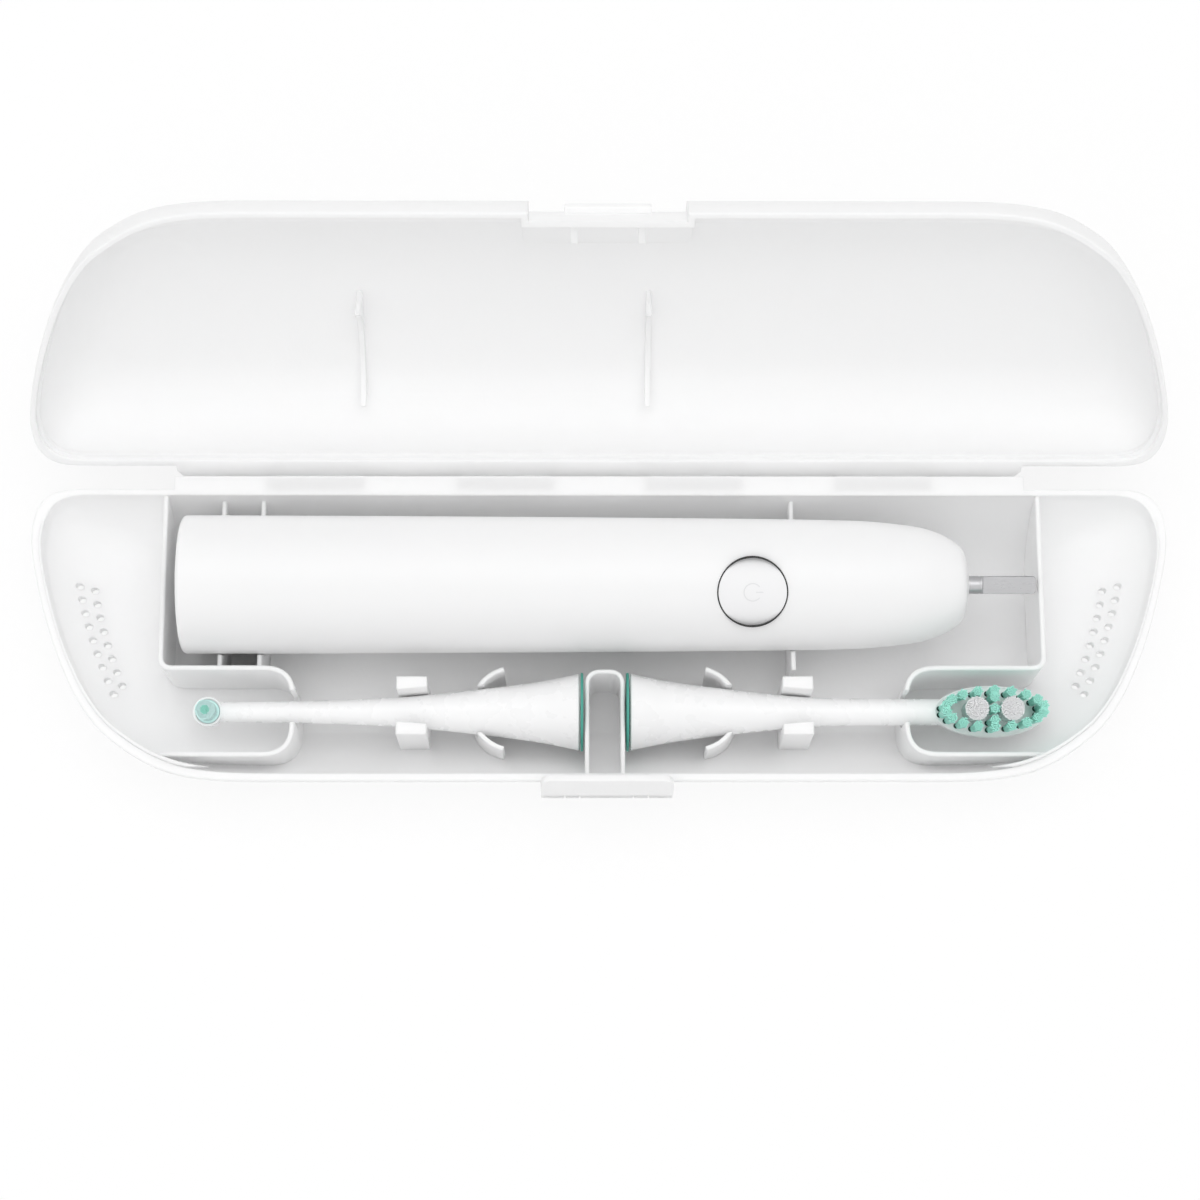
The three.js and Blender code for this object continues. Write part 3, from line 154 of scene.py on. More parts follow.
SHAFT_TIP = NOSE_X + 15.4
SHAFT_STEP = SHAFT_TIP - 11.7
SHAFT_FLAT_Z = 0.75
HEAD_Y = -16.2
HEAD_Z = 14.5
HEAD_ROLL = math.radians(7)
HEAD_RADIUS = 8.7
HEAD_CONE = 46
HEAD_SHARES = [(0, 1), (0.2, 0.785), (0.4, 0.635), (0.58, 0.528), (0.75, 0.432), (0.9, 0.37), (1, 0.35)]
HEAD_RING = 0.6
LEFT_ROOT = -3.6
RIGHT_ROOT = 5.8
LEFT_DISC_X = LEFT_ROOT - 82.7
RIGHT_PLATE_X = RIGHT_ROOT + 80.2
PLATE_HALF_LENGTH = 12.4
PLATE_HALF_WIDTH = 5.7
MIDDLE_X = 1.1
FIT = 0.3

# Bristles: root and tip heights over the heads' axis, strand counts and radii
FIELD_LOW = HEAD_Z + 1.6
FIELD_HIGH = HEAD_Z + 10.9
TEAL_RIM_TUFTS = 18
TEAL_STRANDS = 46
TEAL_STRAND_RADIUS = 0.15
WHITE_TUFT_X = 3.9
WHITE_STRANDS = 320
WHITE_STRAND_RADIUS = 0.135
LEFT_STRANDS = 250
LEFT_CORE_STRANDS = 50
LEFT_STRAND_RADIUS = 0.13
STRAND_SIDES = 5
GOLDEN_TURN = math.pi * (3 - math.sqrt(5))

# Walls inside the base
DIVIDER_X = 97.6
LEFT_DIVIDER_X = 96.4
WALL = 1.1
POCKET_X = RIGHT_PLATE_X - PLATE_HALF_LENGTH - 6.4
POCKET_FRONT_Y = HEAD_Y - 10.7
POCKET_BACK_Y = HANDLE_Y - HANDLE_RADIUS - 3.6
WALL_TOP = RIM_Z - 0.6
WALL_ROOT = 0.9
WALL_EDGE = 0.42
THIN_WALL = 1
BASIN_ROUND = 6.5
BASIN_BACK_ROUND = 2.6
NECK_NOTCH = 3.6
CHANNEL_HALF = 4.35
CHANNEL_INSET = 0.45
CHANNEL_GAP = 0.4
CHANNEL_WALL = 0.95
CLIP_X = 42.3
CLIP_HALF = 3.35
CLIP_REACH = 6.5
CRADLE_X = 20
CRADLE_RADIUS = 9.15
CRADLE_SWEEP = 76
CRADLE_DROP = 3.4
RIB_DROP = 3
RIB_SHARES = (0.0474, 0.0979, 0.7783)
LID_RIB_SHARES = (0.2253, 0.5933)
LID_RIB_HALF = 0.6

# Studio, in metres and watts. The camera's place and axes are the photograph's
FLOOR_HALF = 4
FLOOR_Z = -0.0002
FLOOR_GLOW = 0.8
HORIZON_LIGHT = 0.5
LAMP_TARGET = (0, 0.02, 0.02)
CAMERA_LENS = 85.695
CAMERA_PLACE = (-0.0045956, -0.144798, 0.6330177)
CAMERA_RIGHT = Vector((0.99997267, -0.00141139, 0.00725657))
CAMERA_UP = Vector((-0.000385242, 0.970322784, 0.241813039))


# Solids
def linked(mesh):
    piece = bpy.data.objects.new(mesh.name, mesh)
    scene.collection.objects.link(piece)
    return piece


def solid(points, faces):
    mesh = bpy.data.meshes.new("solid")
    mesh.from_pydata([tuple(p) for p in points], [], faces)
    shape = bmesh.new()
    shape.from_mesh(mesh)
    bmesh.ops.remove_doubles(shape, verts=shape.verts, dist=1e-5)
    bmesh.ops.recalc_face_normals(shape, faces=shape.faces)
    shape.to_mesh(mesh)
    shape.free()
    return linked(mesh)


def evaluated(piece):
    depsgraph = bpy.context.evaluated_depsgraph_get()
    depsgraph.update()
    mesh = bpy.data.meshes.new_from_object(piece.evaluated_get(depsgraph))
    piece.modifiers.clear()
    piece.data = mesh
    return piece


def combined(operation, piece, *others):
    for other in others:
        step = piece.modifiers.new("combine", "BOOLEAN")
        step.operation = operation
        step.solver = "MANIFOLD"
        step.object = other
    evaluated(piece)
    for other in others:
        bpy.data.objects.remove(other)
    return piece


def joined(piece, *others):
    return combined("UNION", piece, *others)


def cut(piece, *others):
    return combined("DIFFERENCE", piece, *others)


def shared(piece, other):
    return combined("INTERSECT", piece, other)


def bevelled(piece, width, segments=3, angle=40):
    step = piece.modifiers.new("bevel", "BEVEL")
    step.width = width
    step.segments = segments
    step.limit_method = "ANGLE"
    step.angle_limit = math.radians(angle)
    return evaluated(piece)


def mirrored(piece):
    piece.data.transform(Matrix.Scale(-1, 4, (1, 0, 0)))
    piece.data.flip_normals()
    return piece


def turns(count):
    return [2 * math.pi * i / count for i in range(count)]


def quarter(steps):
    return [math.pi / 2 * i / steps for i in range(steps + 1)]


def box(x0, x1, y0, y1, z0, z1):
    points = [(x, y, z) for x in (x0, x1) for y in (y0, y1) for z in (z0, z1)]
    return solid(points, [(0, 1, 3, 2), (4, 6, 7, 5), (0, 4, 5, 1), (2, 3, 7, 6), (0, 2, 6, 4), (1, 5, 7, 3)])


def prism(outline, low, high, place):
    """A flat outline drawn out between two heights; place turns (u, v, height) into (x, y, z)."""
    count = len(outline)
    points = [place(u, v, height) for height in (low, high) for u, v in outline]
    sides = [(i, (i + 1) % count, count + (i + 1) % count, count + i) for i in range(count)]
    return solid(points, sides + [tuple(range(count)), tuple(range(count, 2 * count))])


def prism_x(outline, x0, x1):
    return prism(outline, x0, x1, lambda y, z, x: (x, y, z))


def prism_y(outline, y0, y1):
    return prism(outline, y0, y1, lambda x, z, y: (x, y, z))


def prism_z(outline, z0, z1):
    return prism(outline, z0, z1, lambda x, y, z: (x, y, z))


def stacked(rings, looped=False):
    """A closed skin over rings of points, capped at both ends or looped back to the first ring."""
    count = len(rings[0])
    points = [p for one in rings for p in one]
    levels = len(rings) if looped else len(rings) - 1
    faces = []
    for level in range(levels):
        low = level * count
        high = (level + 1) % len(rings) * count
        faces += [(low + i, low + (i + 1) % count, high + (i + 1) % count, high + i) for i in range(count)]
    if not looped:
        faces += [tuple(range(count)), tuple(range(len(points) - count, len(points)))]
    return solid(points, faces)


def lathe_x(profile, sides, y=0, z=0):
    """A solid of revolution about a line along X, from a profile of (x, radius) between two axis points."""
    points = [(profile[0][0], y, z)]
    for x, radius in profile[1:-1]:
        points += [(x, y + radius * math.sin(a), z + radius * math.cos(a)) for a in turns(sides)]
    points.append((profile[-1][0], y, z))
    faces = []
    rows = len(profile) - 2
    for i in range(sides):
        after = (i + 1) % sides
        faces.append((0, 1 + i, 1 + after))
        for row in range(rows - 1):
            low = 1 + row * sides
            faces.append((low + i, low + sides + i, low + sides + after, low + after))
        last = 1 + (rows - 1) * sides
        faces.append((last + i, len(points) - 1, last + after))
    return solid(points, faces)


def ring_x(section, sides, y=0, z=0):
    """A ring of revolution about a line along X, from a closed section of (x, radius)."""
    rings = [[(x, y + r * math.sin(a), z + r * math.cos(a)) for x, r in section] for a in turns(sides)]
    return stacked(rings, looped=True)


def rod_x(radius, x0, x1, y=0, z=0, sides=48):
    return lathe_x([(x0, 0), (x0, radius), (x1, radius), (x1, 0)], sides, y, z)


def arc(x, y, radius, start, end, steps):
    angles = [math.radians(start + (end - start) * i / steps) for i in range(steps + 1)]
    return [(x + radius * math.cos(a), y + radius * math.sin(a)) for a in angles]


def rod_z(radius, z0, z1, x, y, sides=48):
    return prism_z(arc(x, y, radius, 0, 360, sides)[:-1], z0, z1)


def filleted(corners, radii, steps=8):
    """A path through corners, each rounded by its radius where that isn't 0."""
    path = [corners[0]]
    for before, corner, after, radius in zip(corners, corners[1:], corners[2:], radii):
        if not radius:
            path.append(corner)
            continue
        here = Vector(corner)
        start = here + (Vector(before) - here).normalized() * radius
        end = here + (Vector(after) - here).normalized() * radius
        for i in range(steps + 1):
            t = i / steps
            path.append(tuple(start * (1 - t) ** 2 + here * (2 * t * (1 - t)) + end * t ** 2))
    path.append(corners[-1])
    return path


def wall_along(path, thickness, z0, z1):
    """A wall of even thickness along a flat path, with its top edge rounded."""
    half = thickness / 2
    inner, low = half - WALL_EDGE, z1 - WALL_EDGE
    corner = [(WALL_EDGE * math.cos(a), WALL_EDGE * math.sin(a)) for a in quarter(5)]
    section = [(-half, z0), (half, z0), *[(inner + u, low + v) for u, v in corner],
               *[(-inner - v, low + u) for u, v in corner]]
    rings = []
    for i, point in enumerate(path):
        here = Vector(point)
        out = (Vector(path[i + 1]) - here).normalized() if i + 1 < len(path) else None
        into = (here - Vector(path[i - 1])).normalized() if i else out
        along = (into + (out or into)).normalized()
        side = Vector((along.y, -along.x))
        stretch = 1 / max(0.5, side.dot(Vector((into.y, -into.x))))
        rings.append([(here.x + side.x * u * stretch, here.y + side.y * u * stretch, z) for u, z in section])
    return stacked(rings)


# The case's plan outline and its rounded halves
def bezier(p0, p1, p2, p3, steps):
    points = []
    for i in range(steps + 1):
        t = i / steps
        s = 1 - t
        points.append(tuple(s ** 3 * a + 3 * s * s * t * b + 3 * s * t * t * c + t ** 3 * d
                            for a, b, c, d in zip(p0, p1, p2, p3)))
    return points


def case_outline():
    """The case's plan: its right half as three curves from front to back, then the same mirrored."""
    hl, hw = HALF_LENGTH, HALF_WIDTH
    flank = (hl * 0.855, -hw * 0.697)
    lean = (hl * math.cos(math.radians(39)), hl * math.sin(math.radians(39)))
    right = bezier((hl * 0.585, -hw), (hl * 0.725, -hw),
                   (flank[0] - lean[0] * 0.107, flank[1] - lean[1] * 0.107), flank, OUTLINE_STEPS)
    right += bezier(flank, (flank[0] + lean[0] * 0.118, flank[1] + lean[1] * 0.118),
                    (hl, hw * 0.483), (hl, hw * 0.658), OUTLINE_STEPS)[1:]
    right += bezier((hl, hw * 0.658), (hl, hw * 0.975), (hl * 0.962, hw), (hl * 0.912, hw), OUTLINE_STEPS)[1:]
    return right + [(-x, y) for x, y in reversed(right)]


OUTLINE = case_outline()


def outward_ways():
    """Unit ways out of the outline, each square to the line between its neighbours."""
    ways = []
    count = len(OUTLINE)
    for i in range(count):
        before, after = Vector(OUTLINE[i - 1]), Vector(OUTLINE[(i + 1) % count])
        along = (after - before).normalized()
        ways.append((along.y, -along.x))
    return ways


OUTWARD = outward_ways()


def ring(z, ends, front, back=None):
    """The outline at a height, scaled in by a length at its ends, front and back."""
    back = front if back is None else back
    wide = 1 - ends / HALF_LENGTH
    deep = 1 - (front + back) / 2 / HALF_WIDTH
    return [(x * wide, y * deep + (front - back) / 2, z) for x, y in OUTLINE]


def drawn_ring(z, inset, ends=0.0, front=0.0, back=0.0):
    """The outline at a height, drawn in square to itself in front and scaled in behind."""
    wide = 1 - (inset + ends) / HALF_LENGTH
    deep = 1 - (inset + back) / HALF_WIDTH
    points = []
    for (x, y), (u, v) in zip(OUTLINE, OUTWARD):
        drawn = inset + ends * u ** 4 + (front if v < 0 else back) * v ** 4
        t = min(1, max(0, (y - BLEND_FROM) / BLEND_OVER))
        behind = t * t * (3 - 2 * t)
        points.append((x * wide * behind + (x - u * drawn) * (1 - behind),
                       y * deep * behind + (y - v * drawn) * (1 - behind), z))
    return points


def rise_steps(share, rise):
    power = 2 / share
    steps = []
    for i in range(PROFILE_STEPS + 1):
        angle = i / PROFILE_STEPS * math.pi / 2
        steps.append((1 - max(0, math.cos(angle)) ** power, rise * math.sin(angle) ** power))
    return steps


def base_rings(inset, floor):
    steps = rise_steps(BASE_SHARE, RIM_Z - RIM_BAND - floor)
    return [ring(RIM_Z - RIM_BAND - up, BASE_ENDS * drawn + inset, BASE_SIDES * drawn + inset)
            for drawn, up in reversed(steps)]


def lid_rings(inset, roof):
    """The lid's rings from its rim band up, and two flat ones just inside the roof's edge."""
    steps = rise_steps(LID_SHARE, LID_DEPTH - RIM_BAND - roof)
    rings = [drawn_ring(LID_BAND_Z + up, inset, LID_ENDS * drawn, LID_FRONT * drawn, LID_BACK * drawn)
             for drawn, up in steps]
    middle_y = (LID_FRONT - LID_BACK) / 2
    edge = rings[-1]
    for wide, deep in LID_FLAT_RINGS:
        rings.append([(x * wide, middle_y + (y - middle_y) * deep, z) for x, y, z in edge])
    return rings


# Base
def base_skin():
    """The base's outside, its rounded rim and its inside, as one skin."""
    outer = [ring(RIM_Z - down, inset, inset)
             for down, inset in ((0.5, 0), (0.2, 0.08), (0.06, 0.24), (0, 0.5))]
    lip = [ring(RIM_Z - down, RIM_ENDS - less, RIM_FRONT - less, RIM_BACK - less)
           for down, less in ((0, 0.4), (0.12, 0.12), (0.4, 0), (RIM_BAND, 0))]
    inner = [one for one in reversed(base_rings(BASE_WALL, BASE_WALL)) if one[0][2] < RIM_Z - 3]
    return stacked([*base_rings(0, 0), *outer, *lip, *inner])


def rim_tongue():
    """A low tongue round both ends, which reaches up past the rim into the lid."""
    low = RIM_Z - RIM_BAND / 2
    high = RIM_Z + TONGUE_RISE
    section = [(low, 1.8), (high - 0.25, 1.8), (high - 0.06, 1.88), (high, 2.08), (high, 2.22),
               (high - 0.06, 2.42), (high - 0.25, 2.5), (low, 2.5)]
    ends_only = box(-HALF_LENGTH, HALF_LENGTH, -HALF_WIDTH + TONGUE_FRONT, HALF_WIDTH - TONGUE_BACK,
                    0, high + FAR)
    return shared(stacked([ring(z, inset, inset) for z, inset in section], looped=True), ends_only)


def basin_wall(end_x):
    corners = [(end_x, -HALF_WIDTH - FAR), (end_x, POCKET_FRONT_Y), (POCKET_X, POCKET_FRONT_Y),
               (POCKET_X, POCKET_BACK_Y), (end_x, POCKET_BACK_Y), (end_x, HALF_WIDTH + FAR)]
    path = filleted(corners, [0, BASIN_ROUND, BASIN_ROUND, BASIN_BACK_ROUND])
    notch = rod_x(NECK_NOTCH, POCKET_X - FAR, POCKET_X + FAR, HEAD_Y, HEAD_Z)
    gate = box(POCKET_X - FAR, POCKET_X + FAR, HEAD_Y - NECK_NOTCH, HEAD_Y + NECK_NOTCH, HEAD_Z, RIM_Z + FAR)
    return cut(wall_along(path, WALL, WALL_ROOT, WALL_TOP), joined(notch, gate))


def channel_wall():
    half = CHANNEL_HALF - CHANNEL_INSET
    front = -HALF_WIDTH - FAR
    back = POCKET_BACK_Y - CHANNEL_GAP - CHANNEL_INSET
    left, right = MIDDLE_X - half, MIDDLE_X + half
    corners = [(left, front), (left, back), (right, back), (right, front)]
    return wall_along(filleted(corners, [3, 3]), CHANNEL_WALL, WALL_ROOT, WALL_TOP)


def cone_room(side):
    """The room that a head's cone takes, with a gap all round, and the way up out of it."""
    root = RIGHT_ROOT if side > 0 else LEFT_ROOT
    profile = [(root + side * x, r + FIT) for x, r in head_profile()]
    cone = lathe_x([(profile[0][0], 0), *profile, (profile[-1][0], 0)], 72, HEAD_Y, HEAD_Z)
    plan = [(x, HEAD_Y - r) for x, r in profile] + [(x, HEAD_Y + r) for x, r in reversed(profile)]
    return joined(cone, prism_z(plan, HEAD_Z, RIM_Z + FAR))


def neck_clip(side):
    x = MIDDLE_X + side * CLIP_X
    block = box(x - CLIP_HALF, x + CLIP_HALF, HEAD_Y - CLIP_REACH, HEAD_Y + CLIP_REACH, WALL_ROOT, RIM_Z)
    return bevelled(cut(block, cone_room(side)), 0.45, 3, 60)


def cradle(side):
    x = MIDDLE_X + side * CRADLE_X
    middle = 0 if side > 0 else 180
    path = arc(x, HEAD_Y, CRADLE_RADIUS, middle - CRADLE_SWEEP, middle + CRADLE_SWEEP, 36)
    return cut(wall_along(path, THIN_WALL, WALL_ROOT, RIM_Z - CRADLE_DROP), cone_room(side))


def handle_ribs():
    room = lathe_x([(HANDLE_REAR - 1, 0), *[(x, r + FIT) for x, r in handle_profile()], (NOSE_X + 1, 0)],
                   72, HANDLE_Y, HANDLE_Z)
    ribs = []
    for share in RIB_SHARES:
        x = HANDLE_REAR + share * HANDLE_LENGTH
        ribs.append(wall_along([(x, POCKET_BACK_Y), (x, HALF_WIDTH)], THIN_WALL, WALL_ROOT, RIM_Z - RIB_DROP))
    return cut(joined(*ribs), room)


def upright_rods(centres, radius, low, high, sides):
    """Separate upright rods at many places, as one mesh."""
    points, faces = [], []
    for x, y in centres:
        first = len(points)
        points += [(u, v, z) for z in (low, high) for u, v in arc(x, y, radius, 0, 360, sides)[:-1]]
        faces += [(first + k, first + (k + 1) % sides, first + sides + (k + 1) % sides, first + sides + k)
                  for k in range(sides)]
        faces += [tuple(range(first, first + sides)), tuple(range(first + sides, first + 2 * sides))]
    return solid(points, faces)


def vent_pins():
    centres = []
    for low, high, bow, count in VENT_COLUMNS:
        for i in range(count):
            share = i / (count - 1)
            x = (low[0] + (high[0] - low[0]) * share + bow * 4 * share * (1 - share)) * HALF_LENGTH
            y = (low[1] + (high[1] - low[1]) * share) * HALF_WIDTH
            centres += [(-x, y), (x, y)]
    return upright_rods(centres, VENT_RADIUS, -FAR, RIM_Z + FAR, 24)


def hinge_bore():
    return rod_x(PIN_BORE, -HINGE_HALF - FAR, HINGE_HALF + FAR, HINGE_Y, HINGE_Z)


def latch_bore():
    return rod_x(PIN_BORE, LATCH_X - LATCH_HALF - FAR, LATCH_X + LATCH_HALF + FAR, LATCH_Y, LATCH_Z)


def knuckle_spans(first):
    pitch = 2 * HINGE_HALF / KNUCKLES
    starts = [-HINGE_HALF + i * pitch for i in range(first, KNUCKLES, 2)]
    return [(x + KNUCKLE_GAP, x + pitch - KNUCKLE_GAP) for x in starts]


def base_knuckles():
    """Every second knuckle, under a strip that carries the base's rim on over the hinge."""
    wall_y = HALF_WIDTH - RIM_BACK / 2
    cover_z = RIM_Z - COVER_THICKNESS
    root_z = cover_z + 0.1
    section = [(wall_y, HINGE_Z - KNUCKLE_RADIUS), *arc(HINGE_Y, HINGE_Z, KNUCKLE_RADIUS, -90, 0, 18),
               (HINGE_Y + KNUCKLE_RADIUS * 0.6, root_z), (wall_y, root_z)]
    knuckles = [prism_x(section, x0, x1) for x0, x1 in knuckle_spans(0)]
    edge = filleted([(COVER_Y, cover_z + 0.2), (COVER_Y, RIM_Z), (COVER_Y - 0.5, RIM_Z)], [0.5])[1:]
    cover = [(wall_y, cover_z), (COVER_Y - 0.15, cover_z), (COVER_Y, cover_z + 0.15), *edge, (wall_y, RIM_Z)]
    return joined(cut(joined(*knuckles), hinge_bore()), prism_x(cover, -HINGE_HALF, HINGE_HALF))


def latch_lugs():
    root = -HALF_WIDTH + WALL_ROOT
    section = [(root, LATCH_Z + LUG_RADIUS), *arc(LATCH_Y, LATCH_Z, LUG_RADIUS, 90, 270, 24),
               (root, LATCH_Z - LUG_RADIUS)]
    lugs = [bevelled(prism_x(section, x - LUG_HALF, x + LUG_HALF), 0.2, 2) for x in LUG_PLACES]
    return cut(joined(*lugs), latch_bore())


def base():
    walls = joined(basin_wall(DIVIDER_X), mirrored(basin_wall(LEFT_DIVIDER_X)), channel_wall(), neck_clip(-1),
                   neck_clip(1), cradle(-1), cradle(1), handle_ribs())
    middle = stacked([*base_rings(WALL_ROOT, WALL_ROOT), ring(RIM_Z, WALL_ROOT, WALL_ROOT)])
    whole = joined(base_skin(), shared(walls, middle), rim_tongue(), base_knuckles(), latch_lugs())
    return cut(whole, vent_pins())


# Lid, modelled shut
def recess_block(depth, margin):
    """Takes the lid's front face down by a depth, from the rim to an end square to that rounded face."""
    half = LATCH_HALF + RECESS_SIDE + margin
    rise = LID_DEPTH - RIM_BAND
    sine, cosine = math.sin(RECESS_END), math.cos(RECESS_END)
    along = Vector((LID_FRONT * sine, rise * cosine)).normalized()
    end = Vector((LID_FRONT * (1 - cosine) - HALF_WIDTH, LID_BAND_Z + rise * sine)) + along * margin
    across = Vector((along.y, -along.x)) * (LID_DEPTH + 2)
    foot, head = end + across, end - across
    front = -HALF_WIDTH - FAR
    section = [(front, foot.y), tuple(foot), tuple(head), (front, head.y)]
    block = bevelled(prism_x(section, LATCH_X - half, LATCH_X + half), RECESS_ROUND, 5)
    return cut(block, stacked([drawn_ring(RIM_Z - 2 * FAR, depth), *lid_rings(depth, depth)]))


def lid_knuckles():
    """The lid's back flange, and its knuckles on arms that go round the base's strip."""
    high = LID_Z + FLANGE_THICKNESS
    back = HALF_WIDTH - LID_WALL / 2
    flange = [(-HINGE_HALF, back), (HINGE_HALF, back), (HINGE_HALF, FLANGE_Y - FLANGE_CORNER),
              (HINGE_HALF - FLANGE_CORNER, FLANGE_Y), (-HINGE_HALF + FLANGE_CORNER, FLANGE_Y),
              (-HINGE_HALF, FLANGE_Y - FLANGE_CORNER)]
    plate = bevelled(prism_z(flange, LID_Z, high), 0.3, 3)
    arm_y = COVER_Y + FIT
    section = [(FLANGE_Y, high - 0.2), (arm_y, high - 0.2), (arm_y, HINGE_Z + KNUCKLE_RADIUS / 2),
               *arc(HINGE_Y, HINGE_Z, KNUCKLE_RADIUS, 90, 330, 30), (FLANGE_Y, HINGE_Z - KNUCKLE_RADIUS / 2)]
    arms = [prism_x(section, x0, x1) for x0, x1 in knuckle_spans(1)]
    return joined(plate, cut(joined(*arms), hinge_bore()))


def lid_inside():
    """Two ribs cut out round the handle, and two gussets behind the latch recess."""
    pieces = []
    for share in LID_RIB_SHARES:
        x = HANDLE_REAR + share * HANDLE_LENGTH
        plate = box(x - LID_RIB_HALF, x + LID_RIB_HALF, HANDLE_Y - 14.2, HANDLE_Y + 12.1,
                    RIM_Z + 6, RIM_Z + LID_DEPTH)
        room = rod_x(HANDLE_RADIUS + 1, x - FAR, x + FAR, HANDLE_Y, HANDLE_Z, 96)
        pieces.append(cut(bevelled(plate, 0.3), room))
    for x in (LATCH_X - GUSSET_X, LATCH_X + GUSSET_X):
        gusset = box(x - GUSSET_HALF, x + GUSSET_HALF, RECESS_FACE_Y, RECESS_FACE_Y + GUSSET_REACH,
                     LID_BAND_Z, LID_Z + GUSSET_RISE)
        pieces.append(bevelled(gusset, 0.25))
    return joined(*pieces)


def lid():
    wall = LID_WALL
    foot = [drawn_ring(LID_Z + up, inset)
            for up, inset in ((0, 0.45), (0.06, 0.2), (0.2, 0.06), (0.5, 0))]
    body = stacked([*foot, *lid_rings(0, 0)])
    lip = [drawn_ring(LID_Z + up, wall - less)
           for up, less in ((-FAR, 0.35), (0, 0.35), (0.1, 0.1), (0.35, 0))]
    mouth = stacked([*lip, drawn_ring(SHELF_Z, wall)])
    shelf = [drawn_ring(z, 0, SHELF_ENDS, SHELF_FRONT, SHELF_BACK)
             for z in (SHELF_Z - 0.3, SHELF_Z + RIM_BAND)]
    hollow = joined(stacked([*shelf, *lid_rings(wall, wall)[1:]]), mouth)
    hollow = cut(hollow, recess_block(RECESS_DEPTH + wall, wall))
    ridge = box(LATCH_X - RIDGE_HALF, LATCH_X + RIDGE_HALF, RECESS_FACE_Y - RIDGE_PROUD, RECESS_FACE_Y + wall,
                RIM_Z + RIDGE_LOW, RIM_Z + RIDGE_LOW + RIDGE_THICKNESS)
    middle = stacked([drawn_ring(LID_Z, wall / 2), *lid_rings(wall / 2, wall / 2)])
    inside = cut(shared(lid_inside(), middle), recess_block(RECESS_DEPTH + wall / 2, wall / 2))
    whole = cut(body, recess_block(RECESS_DEPTH, 0), hollow)
    return joined(whole, bevelled(ridge, 0.3), inside, lid_knuckles())


# Latch flap, modelled upright
def lean_at(rise):
    return LATCH_LEAN * (rise / LATCH_RISE) ** 2


def latch_flap():
    inner = -HALF_WIDTH - LATCH_PROUD + LATCH_PLATE
    outer = inner - LATCH_PLATE
    top = RIM_Z + LATCH_RISE
    foot = LATCH_Z - 3
    rises = [LATCH_RISE * i / 12 for i in range(13)]
    front = [(outer + lean_at(rise), RIM_Z + rise) for rise in rises]
    back = [(inner + lean_at(rise), RIM_Z + rise) for rise in reversed(rises)]
    section = [(outer, LATCH_Z), *front, *back, (inner, LATCH_Z)]
    x0, x1 = LATCH_X - LATCH_HALF, LATCH_X + LATCH_HALF
    corners = filleted([(LATCH_X, foot), (x1, foot), (x1, top), (x0, top), (x0, foot), (LATCH_X, foot)],
                       [0, 2.4, 2.4, 0])
    plate = shared(prism_x(section, x0, x1), prism_y(corners[:-1], -HALF_WIDTH - FAR, -HALF_WIDTH + FAR))
    plate = bevelled(plate, 0.4, 3, 50)
    barrel = bevelled(rod_x(LUG_RADIUS, x0, x1, LATCH_Y, LATCH_Z), 0.25)
    hook_low = RIM_Z + RIDGE_LOW + HOOK_RISE
    hook_root = outer + LATCH_PLATE / 2 + lean_at(hook_low + HOOK_THICKNESS / 2 - RIM_Z)
    hook = box(LATCH_X - RIDGE_HALF, LATCH_X + RIDGE_HALF, hook_root, RECESS_FACE_Y - RIDGE_PROUD + HOOK_GRIP,
               hook_low, hook_low + HOOK_THICKNESS)
    slots = [rod_x(1.6, x - 1.8, x + 1.8, LATCH_Y, LATCH_Z) for x in LUG_PLACES]
    return cut(joined(plate, barrel, bevelled(hook, 0.3)), *slots, latch_bore())


# Handle, modelled on its own axis with the button up
def smooth(stops, steps):
    """Points along a line of (place, value) stops, drawn without corners or overshoot."""
    slopes = [(b[1] - a[1]) / (b[0] - a[0]) for a, b in zip(stops, stops[1:])]
    bends = [slopes[0]]
    bends += [0 if a * b <= 0 else 2 * a * b / (a + b) for a, b in zip(slopes, slopes[1:])]
    bends.append(slopes[-1])
    points = []
    for (x0, y0), (x1, y1), m0, m1 in zip(stops, stops[1:], bends, bends[1:]):
        for i in range(steps):
            t = i / steps
            wide = x1 - x0
            value = (y0 * (1 + 2 * t) * (1 - t) ** 2 + m0 * wide * t * (1 - t) ** 2
                     + y1 * t * t * (3 - 2 * t) + m1 * wide * t * t * (t - 1))
            points.append((x0 + wide * t, value))
    points.append(stops[-1])
    return points


def handle_profile():
    stops = [(HANDLE_REAR + x * HANDLE_LENGTH, r * HANDLE_RADIUS) for x, r in HANDLE_SHARES]
    body = [p for p in smooth(stops, 6) if p[0] > HANDLE_REAR + REAR_ROUND]
    corner = [(HANDLE_REAR + REAR_ROUND * (1 - math.cos(a)), HANDLE_RADIUS - REAR_ROUND * (1 - math.sin(a)))
              for a in quarter(8)]
    return corner + body + [(NOSE_X, NOSE_FACE_SHARE * HANDLE_RADIUS)]


def radius_at(x):
    profile = handle_profile()
    for (x0, r0), (x1, r1) in zip(profile, profile[1:]):
        if x0 <= x <= x1:
            return r0 + (r1 - r0) * (x - x0) / max(x1 - x0, 1e-6)
    return 0


def handle_body():
    return lathe_x([(HANDLE_REAR, 0), *handle_profile(), (NOSE_X, 0)], 144)


def handle_housing():
    cap, cap_end = HANDLE_RADIUS - 2, HANDLE_REAR + CAP_REACH
    bore = [(x, r - HOUSING_WALL) for x, r in handle_profile() if cap_end < x < NOSE_X - 6.6]
    hollow = lathe_x([(HANDLE_REAR - 2, 0), (HANDLE_REAR - 2, cap), (cap_end, cap), *bore,
                      (NOSE_X - 4.4, 3.7), (NOSE_X + 2, 3.7), (NOSE_X + 2, 0)], 96)
    hole = rod_z(BUTTON_RADIUS + 0.32, 4, HANDLE_RADIUS + 4, BUTTON_X, 0, 96)
    return cut(handle_body(), hollow, hole)


